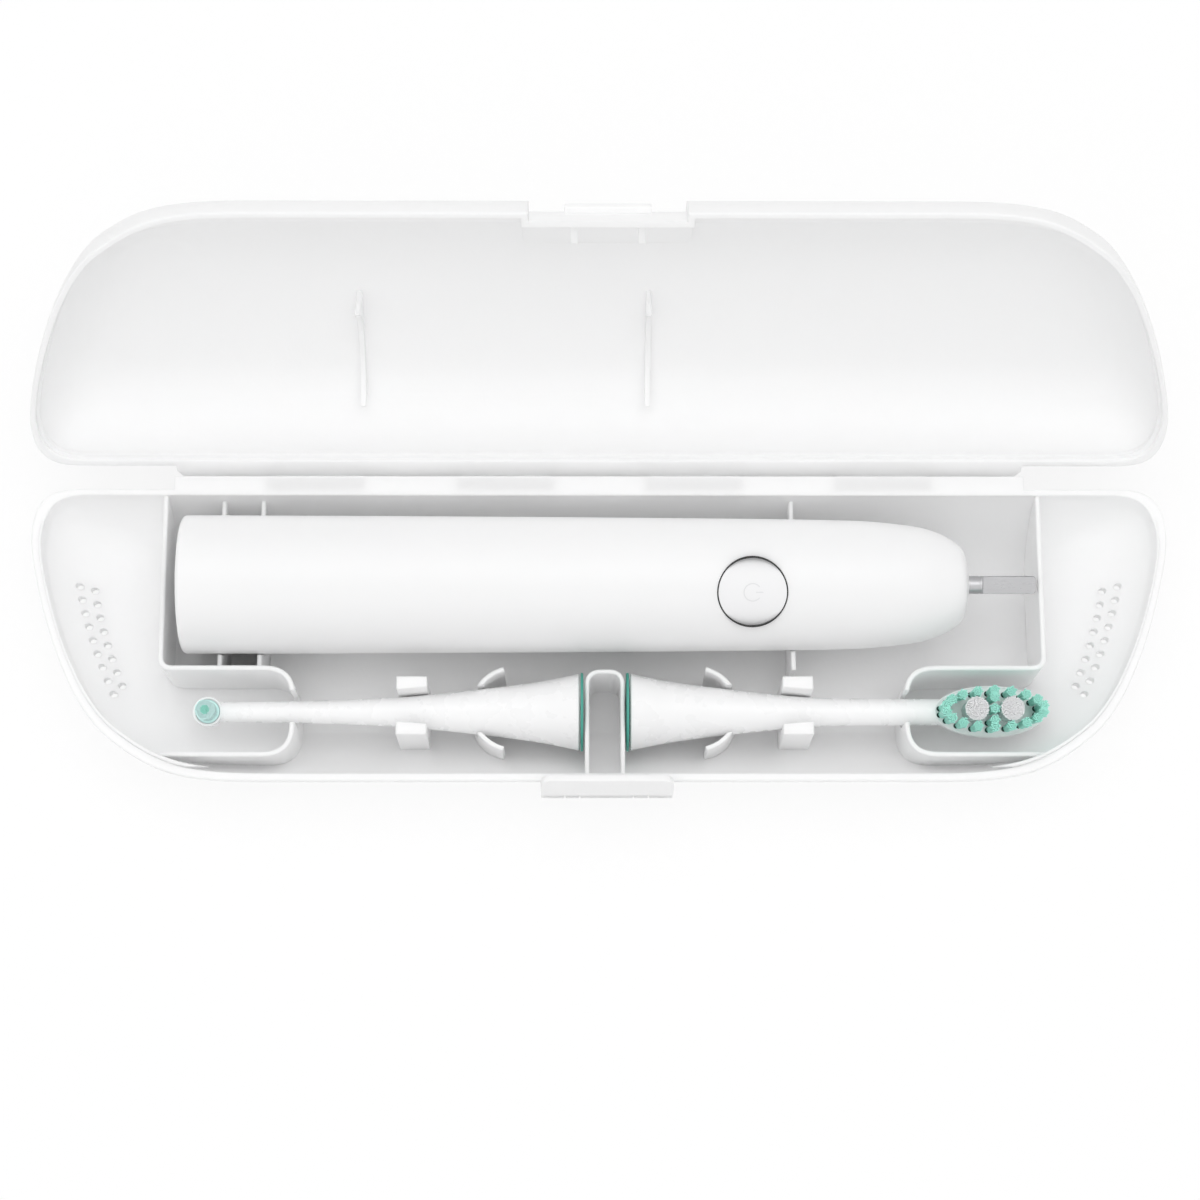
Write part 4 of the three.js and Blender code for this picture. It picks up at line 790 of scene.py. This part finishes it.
def power_button():
    disc = shared(rod_z(BUTTON_RADIUS, 11.4, HANDLE_RADIUS + 4, BUTTON_X, 0, 96), handle_body())
    return joined(bevelled(disc, 0.22, 3, 60), rod_z(2.2, 10.8, 12, BUTTON_X, 0))


def power_symbol():
    """A generic power sign, an open ring and a bar, raised a hair above the button."""
    ridge, line = 0.035, 0.17
    shape = bmesh.new()

    def strip(path):
        rows = []
        for i, point in enumerate(path):
            before = Vector(path[max(i - 1, 0)])
            after = Vector(path[min(i + 1, len(path) - 1)])
            along = (after - before).normalized()
            side = Vector((along.y, -along.x)) * line
            row = []
            for share, lift in ((-1, -0.1), (-0.6, ridge), (0.6, ridge), (1, -0.1)):
                x, y = Vector(point) + side * share
                radius = radius_at(BUTTON_X + x)
                row.append(shape.verts.new((BUTTON_X + x, y, math.sqrt(radius ** 2 - y * y) + lift)))
            rows.append(row)
        for low, high in zip(rows, rows[1:]):
            for k in range(4):
                shape.faces.new((low[k], low[(k + 1) % 4], high[(k + 1) % 4], high[k]))
        shape.faces.new(rows[0])
        shape.faces.new(rows[-1])

    strip(arc(0, 0, 1.9, 38, 322, 48))
    strip([(0.7 + 0.2 * i, 0) for i in range(9)])
    bmesh.ops.recalc_face_normals(shape, faces=shape.faces)
    mesh = bpy.data.meshes.new("symbol")
    shape.to_mesh(mesh)
    shape.free()
    return linked(mesh)


def button_gap_shade_seal():
    """A dark seal round the button, partly real and partly painted shade: its black stands in for the shadow
    in the gap, as a thin ring.
    """
    low, high = 12.2, 13.9
    inner, lip, outer = BUTTON_RADIUS - 1.2, BUTTON_RADIUS + 0.02, BUTTON_RADIUS + 0.31
    foot = low + 0.4
    shade_seal = ring_x([(low, inner), (low, outer), (high, outer), (high, lip), (foot, lip), (foot, inner)], 96)
    shade_seal.data.transform(Matrix.Translation((BUTTON_X, 0, 0)) @ Matrix.Rotation(-math.pi / 2, 4, "Y"))
    return shade_seal


def bottom_cap():
    x0 = HANDLE_REAR
    cap = HANDLE_RADIUS - 2.3
    spigot = cap - 0.8
    groove = cap - 1.5
    edge = [(x0 + 0.7 - 0.7 * math.sin(a), cap - 0.7 + 0.7 * math.cos(a)) for a in reversed(quarter(6))]
    return lathe_x([
        (x0 + 14, 0), (x0 + 14, 3.3), (x0 + 13.7, 3.6), (x0 + 0.4, 3.6), (x0, 4), *edge, (x0 + 3.4, cap),
        (x0 + 3.4, spigot), (x0 + 5, spigot), (x0 + 5, groove), (x0 + 7.2, groove), (x0 + 7.2, spigot),
        (x0 + CAP_REACH, spigot), (x0 + CAP_REACH, 5.2), (x0 + 18, 5.2), (x0 + 18, 0)], 96)


def nose_bushing():
    x1 = NOSE_X + 0.3
    return ring_x([
        (x1 - 3, 2.3), (x1 - 3, 3.4), (x1 - 0.25, 3.4), (x1, 3.15), (x1, 2.45), (x1 - 0.15, 2.3)], 64)


def drive_shaft():
    step, tip, full, low = SHAFT_STEP, SHAFT_TIP, SHAFT_RADIUS, SHAFT_FLAT_Z
    rod = lathe_x([
        (SHAFT_START, 0), (SHAFT_START, full), (step - 1, full), (step - 0.9, 1.93), (step - 0.7, 1.93),
        (step - 0.6, full), (tip - 0.6, full), (tip - 0.17, 1.83), (tip, 1.4), (tip, 0)], 64)
    flat = box(step, tip + FAR, -3, 3, low, 3)
    shoulder = prism_y([(step - 0.6, 3), (step, low), (step + 1, low), (step + 1, 3)], -3, 3)
    return bevelled(cut(rod, joined(flat, shoulder)), 0.08, 2, 50)


# Brush heads, modelled along their common axis with the bristles up
def head_profile():
    stops = [(x * HEAD_CONE, r * HEAD_RADIUS) for x, r in HEAD_SHARES]
    return smooth(stops, 5)


def head_body(root, side, neck_end, neck_radius):
    end = root + side * (HEAD_RING + FIT)
    cone = [(root + side * x, r) for x, r in head_profile() if x > 1.3]
    edge = HEAD_RADIUS - (HEAD_RADIUS - cone[0][1]) * (HEAD_RING + FIT) / (side * (cone[0][0] - root))
    far = cone[-1]
    along = neck_end - far[0]
    neck = [(far[0] + along * t, far[1] + (neck_radius - far[1]) * (t * (2 - t)) ** 0.8)
            for t in (0.1, 0.25, 0.45, 0.7, 1)]
    tip = [(neck_end + side * neck_radius * math.sin(a), neck_radius * math.cos(a))
           for a in (0.5, 0.9, 1.2, 1.4)]
    points = [(end, 0), (end, edge - 0.25), (end + side * 0.25, edge), *cone, *neck, *tip,
              (neck_end + side * neck_radius, 0)]
    body = lathe_x(points, 96, HEAD_Y, HEAD_Z)
    mouth = rod_x(6.2, end - side * 2, end + side * 6, HEAD_Y, HEAD_Z)
    seat = rod_x(4.3, end, end + side * 16.6, HEAD_Y, HEAD_Z)
    return cut(body, mouth, seat)


def head_ring(root, side):
    far = root + side * HEAD_RING
    outer, inner = HEAD_RADIUS, HEAD_RADIUS - 1.5
    section = [(root, inner), (root, outer - 0.25), (root + side * 0.1, outer - 0.06),
               (root + side * 0.25, outer), (far, outer), (far, inner)]
    return ring_x(section, 96, HEAD_Y, HEAD_Z)


def pad(x, long, wide, low, high, steps=72):
    """An oval plate with a rounded edge and a fuller underside."""
    levels = [(low, 0.4), (low + 0.15, 0.22), (low + 0.5, 0.1), (low + 1.1, 0.02), (low + 1.8, 0),
              (high - 0.5, 0), (high - 0.15, 0.012), (high, 0.04)]
    rings = []
    for z, drawn in levels:
        rx, ry = long * (1 - drawn * wide / long), wide * (1 - drawn)
        rings.append([(x + rx * math.cos(a), HEAD_Y + ry * math.sin(a), z) for a in turns(steps)])
    return stacked(rings)


def left_head():
    body = head_body(LEFT_ROOT, -1, LEFT_DISC_X + 1.2, 2.2)
    disc = pad(LEFT_DISC_X, 3.3, 3.3, HEAD_Z - 2, HEAD_Z + 2)
    well = rod_z(2.75, HEAD_Z + 0.9, HEAD_Z + 4, LEFT_DISC_X, HEAD_Y)
    return cut(joined(body, disc), well)


def right_head():
    body = head_body(RIGHT_ROOT, 1, RIGHT_PLATE_X - PLATE_HALF_LENGTH + 2.4, 2.9)
    plate = pad(RIGHT_PLATE_X, PLATE_HALF_LENGTH, PLATE_HALF_WIDTH, HEAD_Z - 2, HEAD_Z + 2, 96)
    well = [(RIGHT_PLATE_X + 12.05 * math.cos(a), HEAD_Y + 5.35 * math.sin(a)) for a in turns(96)]
    return cut(joined(body, plate), prism_z(well, HEAD_Z + 1.75, HEAD_Z + 4))


# Bristles
def strands(places, radius):
    """Filaments as bent tapered rods. Each place is (root x, y), (tip x, y), low, high."""
    sides = STRAND_SIDES
    points, faces = [], []
    for (x0, y0), (x1, y1), low, high in places:
        first = len(points)
        for t, wide in ((0, 1), (0.35, 1), (0.7, 1), (0.99, 1), (1, 0.86)):
            bend = t ** 2.2
            cx, cy, z = x0 + (x1 - x0) * bend, y0 + (y1 - y0) * bend, low + (high - low) * t
            points += [(cx + radius * wide * math.cos(a), cy + radius * wide * math.sin(a), z)
                       for a in turns(sides)]
        for level in range(4):
            low_row = first + level * sides
            faces += [(low_row + k, low_row + (k + 1) % sides, low_row + sides + (k + 1) % sides,
                       low_row + sides + k) for k in range(sides)]
        faces += [tuple(range(first + sides - 1, first - 1, -1)),
                  tuple(range(first + 4 * sides, first + 5 * sides))]
    mesh = bpy.data.meshes.new("bristles")
    mesh.from_pydata(points, [], faces)
    return linked(mesh)


def round_tuft(x, y, radius, flare, count, low, high, dome, jitter):
    """Strand places of a round tuft that flares towards slightly domed tips."""
    places = []
    for i in range(count):
        share = math.sqrt((i + 0.5) / count)
        a = i * GOLDEN_TURN
        tip = radius * share * flare
        wobble = (chance.uniform(-jitter, jitter), chance.uniform(-jitter, jitter))
        places.append((
            (x + radius * share * math.cos(a), y + radius * share * math.sin(a)),
            (x + tip * math.cos(a) + wobble[0], y + tip * math.sin(a) + wobble[1]),
            low, high - dome * share ** 2 + chance.uniform(-0.08, 0.04)))
    return places


def teal_tuft_centres():
    """An oval row of tufts round the plate, and three between the white ones."""
    rx, ry = 10.7, 4.0
    angles = [2 * math.pi * (i + 0.5) / TEAL_RIM_TUFTS for i in range(TEAL_RIM_TUFTS)]
    rim = [(RIGHT_PLATE_X + rx * math.cos(a), HEAD_Y + ry * math.sin(a)) for a in angles]
    return rim + [(RIGHT_PLATE_X, HEAD_Y + 2.5 * i) for i in (-1, 0, 1)]


def star_tuft(x, y, lean):
    """Strand places of a small tuft whose tips fan out into a few blunt points."""
    turn = chance.uniform(0, math.pi)
    places = []
    for i in range(TEAL_STRANDS):
        share = math.sqrt((i + 0.5) / TEAL_STRANDS)
        a = i * GOLDEN_TURN
        petal = 1 + 0.16 * math.cos(6 * (a + turn))
        tip = 1.08 * share * petal
        places.append((
            (x + 0.72 * share * math.cos(a), y + 0.72 * share * math.sin(a)),
            (x + lean + tip * math.cos(a), y + tip * math.sin(a)),
            FIELD_LOW, FIELD_HIGH - chance.uniform(0, 0.25) - 0.25 * share))
    return places


def teal_bristles():
    places = []
    for x, y in teal_tuft_centres():
        share = (x - RIGHT_PLATE_X) / PLATE_HALF_LENGTH
        places += star_tuft(x, y, 0.25 * max(0, share) ** 3)
    return strands(places, TEAL_STRAND_RADIUS)


def white_bristles(side):
    x = RIGHT_PLATE_X + side * WHITE_TUFT_X
    return strands(round_tuft(x, HEAD_Y, 2.3, 1.13, WHITE_STRANDS, FIELD_LOW, FIELD_HIGH, 0.35, 0.06),
                   WHITE_STRAND_RADIUS)


def left_bristles(inner):
    """The left tuft's mint core, or the paler strands round it."""
    places = round_tuft(LEFT_DISC_X, HEAD_Y, 2.1, 1.05, LEFT_STRANDS, HEAD_Z + 1.2, HEAD_Z + 7.4, 0.1, 0.05)
    return strands(places[:LEFT_CORE_STRANDS] if inner else places[LEFT_CORE_STRANDS:], LEFT_STRAND_RADIUS)


def left_tuft_seat():
    disc = arc(LEFT_DISC_X, HEAD_Y, 2.6, 0, 360, 48)[:-1]
    return bevelled(prism_z(disc, HEAD_Z + 1, HEAD_Z + 1.9), 0.08, 2)


def painted_hole_shade():
    """Painted shade: dark discs on the plate beside the teal tufts' roots, standing in for the shadow inside
    the holes that the leaning tufts leave open.
    """
    centres = [(x - 0.55, y - 0.1) for x, y in teal_tuft_centres()]
    return upright_rods(centres, 0.62, HEAD_Z + 1.7, HEAD_Z + 1.79, 14)


# Materials
FINISHES = {}


def set_inputs(node, values):
    for socket, value in values.items():
        node.inputs[socket].default_value = value


def finish(name, colour, shade, roughness, grain=900, bump=0.02, metallic=0.0, soft=0.0, edge=0.0,
           coat=0.0, stretch=(1, 1, 1)):
    """Files a procedural finish by name: cloudy tone, uneven gloss, a fine grain and softened edges."""
    made = bpy.data.materials.new(name)
    made.use_nodes = True
    tree = made.node_tree
    shader = tree.nodes["Principled BSDF"]
    set_inputs(shader, {
        "Metallic": metallic, "Subsurface Weight": soft, "Subsurface Radius": (1, 1, 1),
        "Subsurface Scale": 3 * MM, "Coat Weight": coat, "Coat Roughness": 0.2})
    place = tree.nodes.new("ShaderNodeTexCoord")
    spread = tree.nodes.new("ShaderNodeMapping")
    set_inputs(spread, {"Scale": stretch})
    tree.links.new(place.outputs["Object"], spread.inputs["Vector"])

    def noise(scale, detail):
        cloud = tree.nodes.new("ShaderNodeTexNoise")
        set_inputs(cloud, {"Scale": scale, "Detail": detail})
        tree.links.new(spread.outputs["Vector"], cloud.inputs["Vector"])
        return cloud.outputs["Fac"]

    tone = tree.nodes.new("ShaderNodeMix")
    tone.data_type = "RGBA"
    set_inputs(tone, {"A": (*colour, 1), "B": (*shade, 1)})
    tree.links.new(noise(38, 3), tone.inputs["Factor"])
    tree.links.new(tone.outputs["Result"], shader.inputs["Base Color"])
    gloss = tree.nodes.new("ShaderNodeMapRange")
    set_inputs(gloss, {
        "From Min": 0.3, "From Max": 0.7, "To Min": roughness * 0.86, "To Max": roughness * 1.14})
    tree.links.new(noise(210, 4), gloss.inputs["Value"])
    tree.links.new(gloss.outputs["Result"], shader.inputs["Roughness"])
    relief = tree.nodes.new("ShaderNodeBump")
    set_inputs(relief, {"Strength": bump, "Distance": 0.0002})
    tree.links.new(noise(grain, 2), relief.inputs["Height"])
    if edge:
        rounding = tree.nodes.new("ShaderNodeBevel")
        rounding.samples = 4
        set_inputs(rounding, {"Radius": edge * MM})
        tree.links.new(rounding.outputs["Normal"], relief.inputs["Normal"])
    tree.links.new(relief.outputs["Normal"], shader.inputs["Normal"])
    FINISHES[name] = made


finish("case_plastic", (0.97, 0.97, 0.972), (0.955, 0.955, 0.958), 0.45, grain=1500, bump=0.10, soft=0.6,
       edge=0.3)
finish("handle_plastic", (0.95, 0.95, 0.952), (0.93, 0.93, 0.934), 0.34, grain=1900, bump=0.05, soft=0.3,
       edge=0.12)
finish("button_rubber", (0.90, 0.90, 0.905), (0.875, 0.875, 0.885), 0.48, grain=2400, bump=0.12, soft=0.08)
finish("symbol_rubber", (0.80, 0.80, 0.81), (0.76, 0.76, 0.77), 0.5, bump=0.08)
finish("head_plastic", (0.94, 0.94, 0.942), (0.935, 0.935, 0.938), 0.28, grain=1200, bump=0.02, soft=0.1)
finish("teal_plastic", (0.06, 0.38, 0.30), (0.05, 0.33, 0.26), 0.38, bump=0.05)
finish("teal_nylon", (0.50, 0.96, 0.85), (0.40, 0.90, 0.77), 0.42, bump=0.04)
finish("mint_nylon", (0.42, 0.92, 0.80), (0.34, 0.86, 0.72), 0.42, bump=0.04)
finish("pale_nylon", (0.76, 0.98, 0.96), (0.68, 0.96, 0.93), 0.42, bump=0.04)
finish("white_nylon", (0.98, 0.985, 0.99), (0.97, 0.975, 0.985), 0.45, bump=0.04)
# Near-black colour of painted shade, for the shadowed holes beside the teal tufts
finish("hole_shade_paint", (0.01, 0.05, 0.04), (0.006, 0.03, 0.03), 0.6)
finish("shaft_steel", (0.52, 0.52, 0.53), (0.44, 0.44, 0.45), 0.30, grain=700, bump=0.10, metallic=1,
       edge=0.08, stretch=(1, 9, 9))
finish("pin_steel", (0.58, 0.58, 0.59), (0.50, 0.50, 0.51), 0.28, metallic=1, stretch=(1, 8, 8))
finish("motor_steel", (0.55, 0.55, 0.56), (0.47, 0.47, 0.48), 0.36, metallic=1)
finish("magnet", (0.35, 0.35, 0.36), (0.28, 0.28, 0.29), 0.3, metallic=1)
finish("black_rubber", (0.018, 0.018, 0.019), (0.03, 0.03, 0.03), 0.7, bump=0.15)
finish("switch_black", (0.03, 0.03, 0.03), (0.045, 0.045, 0.045), 0.5)
finish("inner_plastic", (0.62, 0.62, 0.62), (0.56, 0.56, 0.57), 0.5, bump=0.08)
finish("coil_copper", (0.60, 0.26, 0.11), (0.48, 0.19, 0.08), 0.35, grain=500, bump=0.5, metallic=1,
       stretch=(6, 1, 1))
finish("cell_wrap", (0.06, 0.17, 0.38), (0.05, 0.13, 0.32), 0.35, coat=0.3)
finish("circuit_board", (0.02, 0.16, 0.06), (0.015, 0.12, 0.05), 0.4, bump=0.2, coat=0.3)


# Pieces in place
def placed(piece, name, body, node, look, turn=Matrix()):
    """Puts a piece in place in metres, with its finish, the body it rides on and the node it replaces."""
    piece.data.transform(Matrix.Scale(MM, 4) @ turn)
    piece.name = name
    piece.data.name = name
    piece.data.materials.clear()
    piece.data.materials.append(FINISHES[look])
    for face in piece.data.polygons:
        face.material_index = 0
        face.use_smooth = True
    piece.data.set_sharp_from_angle(angle=math.radians(38))
    weigh = piece.modifiers.new("weigh", "WEIGHTED_NORMAL")
    weigh.keep_sharp = True
    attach(piece, body)
    if node:
        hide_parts(node)


def turned(y, z, angle):
    return Matrix.Translation((0, y, z)) @ Matrix.Rotation(angle, 4, "X") @ Matrix.Translation((0, -y, -z))


def pin(middle, half, y, z):
    return bevelled(rod_x(PIN_RADIUS, middle - half, middle + half, y, z, 32), 0.15)


chance = random.Random(11)
open_lid = turned(HINGE_Y, HINGE_Z, -OPEN_ANGLE)
open_latch = turned(LATCH_Y, LATCH_Z, LATCH_ANGLE)
on_handle = Matrix.Translation((0, HANDLE_Y, HANDLE_Z)) @ Matrix.Rotation(HANDLE_ROLL, 4, "X")
on_heads = turned(HEAD_Y, HEAD_Z, HEAD_ROLL)

placed(base(), "case_base", "base", "base_shell", "case_plastic")
placed(lid(), "case_lid", "lid", "lid_shell", "case_plastic", open_lid)
placed(latch_flap(), "latch", "latch", "latch_flap", "case_plastic", open_latch)
placed(pin(0, HINGE_PIN_HALF, HINGE_Y, HINGE_Z), "hinge_rod", "base", "hinge_pin", "pin_steel")
placed(pin(LATCH_X, LATCH_PIN_HALF, LATCH_Y, LATCH_Z), "latch_rod", "base", "latch_pin", "pin_steel")

placed(handle_housing(), "handle", "handle", "handle_housing", "handle_plastic", on_handle)
placed(bottom_cap(), "handle_cap", "handle", "bottom_cap", "handle_plastic", on_handle)
placed(nose_bushing(), "handle_nose_ring", "handle", "nose_bushing", "handle_plastic", on_handle)
# A black seal in the button's gap, which paints the gap's shade as a crisp dark ring
placed(button_gap_shade_seal(), "button_gap_shade_seal", "handle", None, "black_rubber", on_handle)
placed(power_button(), "button", "button", "power_button", "button_rubber", on_handle)
placed(power_symbol(), "button_symbol", "button", None, "symbol_rubber", on_handle)
placed(drive_shaft(), "shaft", "shaft", "drive_shaft", "shaft_steel", on_handle)

placed(left_head(), "left_brush", "left_head", "left_head_body", "head_plastic", on_heads)
placed(head_ring(LEFT_ROOT, -1), "left_brush_ring", "left_head", "left_head_ring", "teal_plastic", on_heads)
placed(left_bristles(False), "left_tuft", "left_head", "left_head_bristles", "pale_nylon", on_heads)
placed(left_bristles(True), "left_tuft_core", "left_head", None, "mint_nylon", on_heads)
placed(left_tuft_seat(), "left_tuft_seat", "left_head", None, "pale_nylon", on_heads)

placed(right_head(), "right_brush", "right_head", "right_head_body", "head_plastic", on_heads)
placed(head_ring(RIGHT_ROOT, 1), "right_brush_ring", "right_head", "right_head_ring", "teal_plastic",
       on_heads)
placed(teal_bristles(), "right_teal_tufts", "right_head", "right_head_teal_bristles", "teal_nylon", on_heads)
placed(white_bristles(-1), "right_white_tuft_near", "right_head", "right_head_white_tuft_1", "white_nylon",
       on_heads)
placed(white_bristles(1), "right_white_tuft_far", "right_head", "right_head_white_tuft_2", "white_nylon",
       on_heads)
# Dark discs of painted shade at the teal tufts' roots
placed(painted_hole_shade(), "right_painted_hole_shade", "right_head", None, "hole_shade_paint", on_heads)

# CAD pieces that stay as they are take their finish here
slots = {entry["node"]: entry["material_slot"] for entry in frame["record"]["subparts"]}
for name, node in nodes.items():
    node.data.materials.clear()
    node.data.materials.append(FINISHES[slots[name]])
    node.data.shade_smooth()
    node.data.set_sharp_from_angle(angle=math.radians(30))


# Floor, light and camera
def background_ray(tree):
    """1 where the background is seen: by the camera, in a reflection or through glass."""
    path = tree.nodes.new("ShaderNodeLightPath")
    seen = path.outputs["Is Camera Ray"]
    for other in ("Is Glossy Ray", "Is Transmission Ray"):
        larger = tree.nodes.new("ShaderNodeMath")
        larger.operation = "MAXIMUM"
        tree.links.new(seen, larger.inputs[0])
        tree.links.new(path.outputs[other], larger.inputs[1])
        seen = larger.outputs["Value"]
    return seen


def floor_material():
    """A pale floor that shows as near white to the camera but keeps the object's shadow."""
    made = bpy.data.materials.new("floor")
    made.use_nodes = True
    tree = made.node_tree
    shader = tree.nodes["Principled BSDF"]
    set_inputs(shader, {"Roughness": 0.8})
    cloud = tree.nodes.new("ShaderNodeTexNoise")
    set_inputs(cloud, {"Scale": 3})
    tone = tree.nodes.new("ShaderNodeMix")
    tone.data_type = "RGBA"
    set_inputs(tone, {"A": (0.98, 0.98, 0.98, 1), "B": (0.97, 0.97, 0.97, 1)})
    tree.links.new(cloud.outputs["Fac"], tone.inputs["Factor"])
    tree.links.new(tone.outputs["Result"], shader.inputs["Base Color"])
    glow = tree.nodes.new("ShaderNodeEmission")
    set_inputs(glow, {"Color": (1, 1, 1, 1), "Strength": 1})
    some = tree.nodes.new("ShaderNodeMath")
    some.operation = "MULTIPLY"
    some.inputs[1].default_value = FLOOR_GLOW
    tree.links.new(background_ray(tree), some.inputs[0])
    blend = tree.nodes.new("ShaderNodeMixShader")
    tree.links.new(some.outputs["Value"], blend.inputs["Fac"])
    tree.links.new(shader.outputs["BSDF"], blend.inputs[1])
    tree.links.new(glow.outputs["Emission"], blend.inputs[2])
    tree.links.new(blend.outputs["Shader"], tree.nodes["Material Output"].inputs["Surface"])
    return made


def studio_world():
    """Full white where it is seen. As light it is full overhead and weaker down to the horizon."""
    world = bpy.data.worlds.new("studio")
    world.use_nodes = True
    tree = world.node_tree
    sky = tree.nodes["Background"]
    set_inputs(sky, {"Color": (1, 1, 1, 1)})
    place = tree.nodes.new("ShaderNodeTexCoord")
    height = tree.nodes.new("ShaderNodeSeparateXYZ")
    tree.links.new(place.outputs["Generated"], height.inputs["Vector"])
    overhead = tree.nodes.new("ShaderNodeMapRange")
    set_inputs(overhead, {"To Min": HORIZON_LIGHT, "To Max": 1.0})
    tree.links.new(height.outputs["Z"], overhead.inputs["Value"])
    level = tree.nodes.new("ShaderNodeMapRange")
    set_inputs(level, {"To Max": 1.0})
    tree.links.new(background_ray(tree), level.inputs["Value"])
    tree.links.new(overhead.outputs["Result"], level.inputs["To Min"])
    tree.links.new(level.outputs["Result"], sky.inputs["Strength"])
    return world


def lamp(name, place, size, power):
    data = bpy.data.lights.new(name, "AREA")
    data.shape = "RECTANGLE"
    data.size, data.size_y = size
    data.energy = power
    light = bpy.data.objects.new(name, data)
    light.location = place
    light.rotation_euler = (Vector(LAMP_TARGET) - Vector(place)).to_track_quat("-Z", "Y").to_euler()
    scene.collection.objects.link(light)


corners = [(FLOOR_HALF * x, FLOOR_HALF * y, 0) for x, y in ((-1, -1), (1, -1), (1, 1), (-1, 1))]
floor = solid(corners, [(0, 1, 2, 3)])
floor.name = "floor"
floor.location.z = FLOOR_Z
floor.data.materials.append(floor_material())

scene.world = studio_world()
lamp("key", (0.05, 0.2, 1.35), (1.2, 0.9), 3.4)
lamp("fill", (-0.3, -0.8, 1.0), (1.2, 0.7), 1.0)

camera_data = bpy.data.cameras.new("camera")
camera_data.lens = CAMERA_LENS
camera_data.sensor_width = 36
camera = bpy.data.objects.new("camera", camera_data)
axes = Matrix((CAMERA_RIGHT, CAMERA_UP, CAMERA_RIGHT.cross(CAMERA_UP))).transposed()
camera.matrix_world = Matrix.Translation(CAMERA_PLACE) @ axes.to_4x4()
scene.collection.objects.link(camera)
scene.camera = camera
scene.view_settings.view_transform = "Standard"
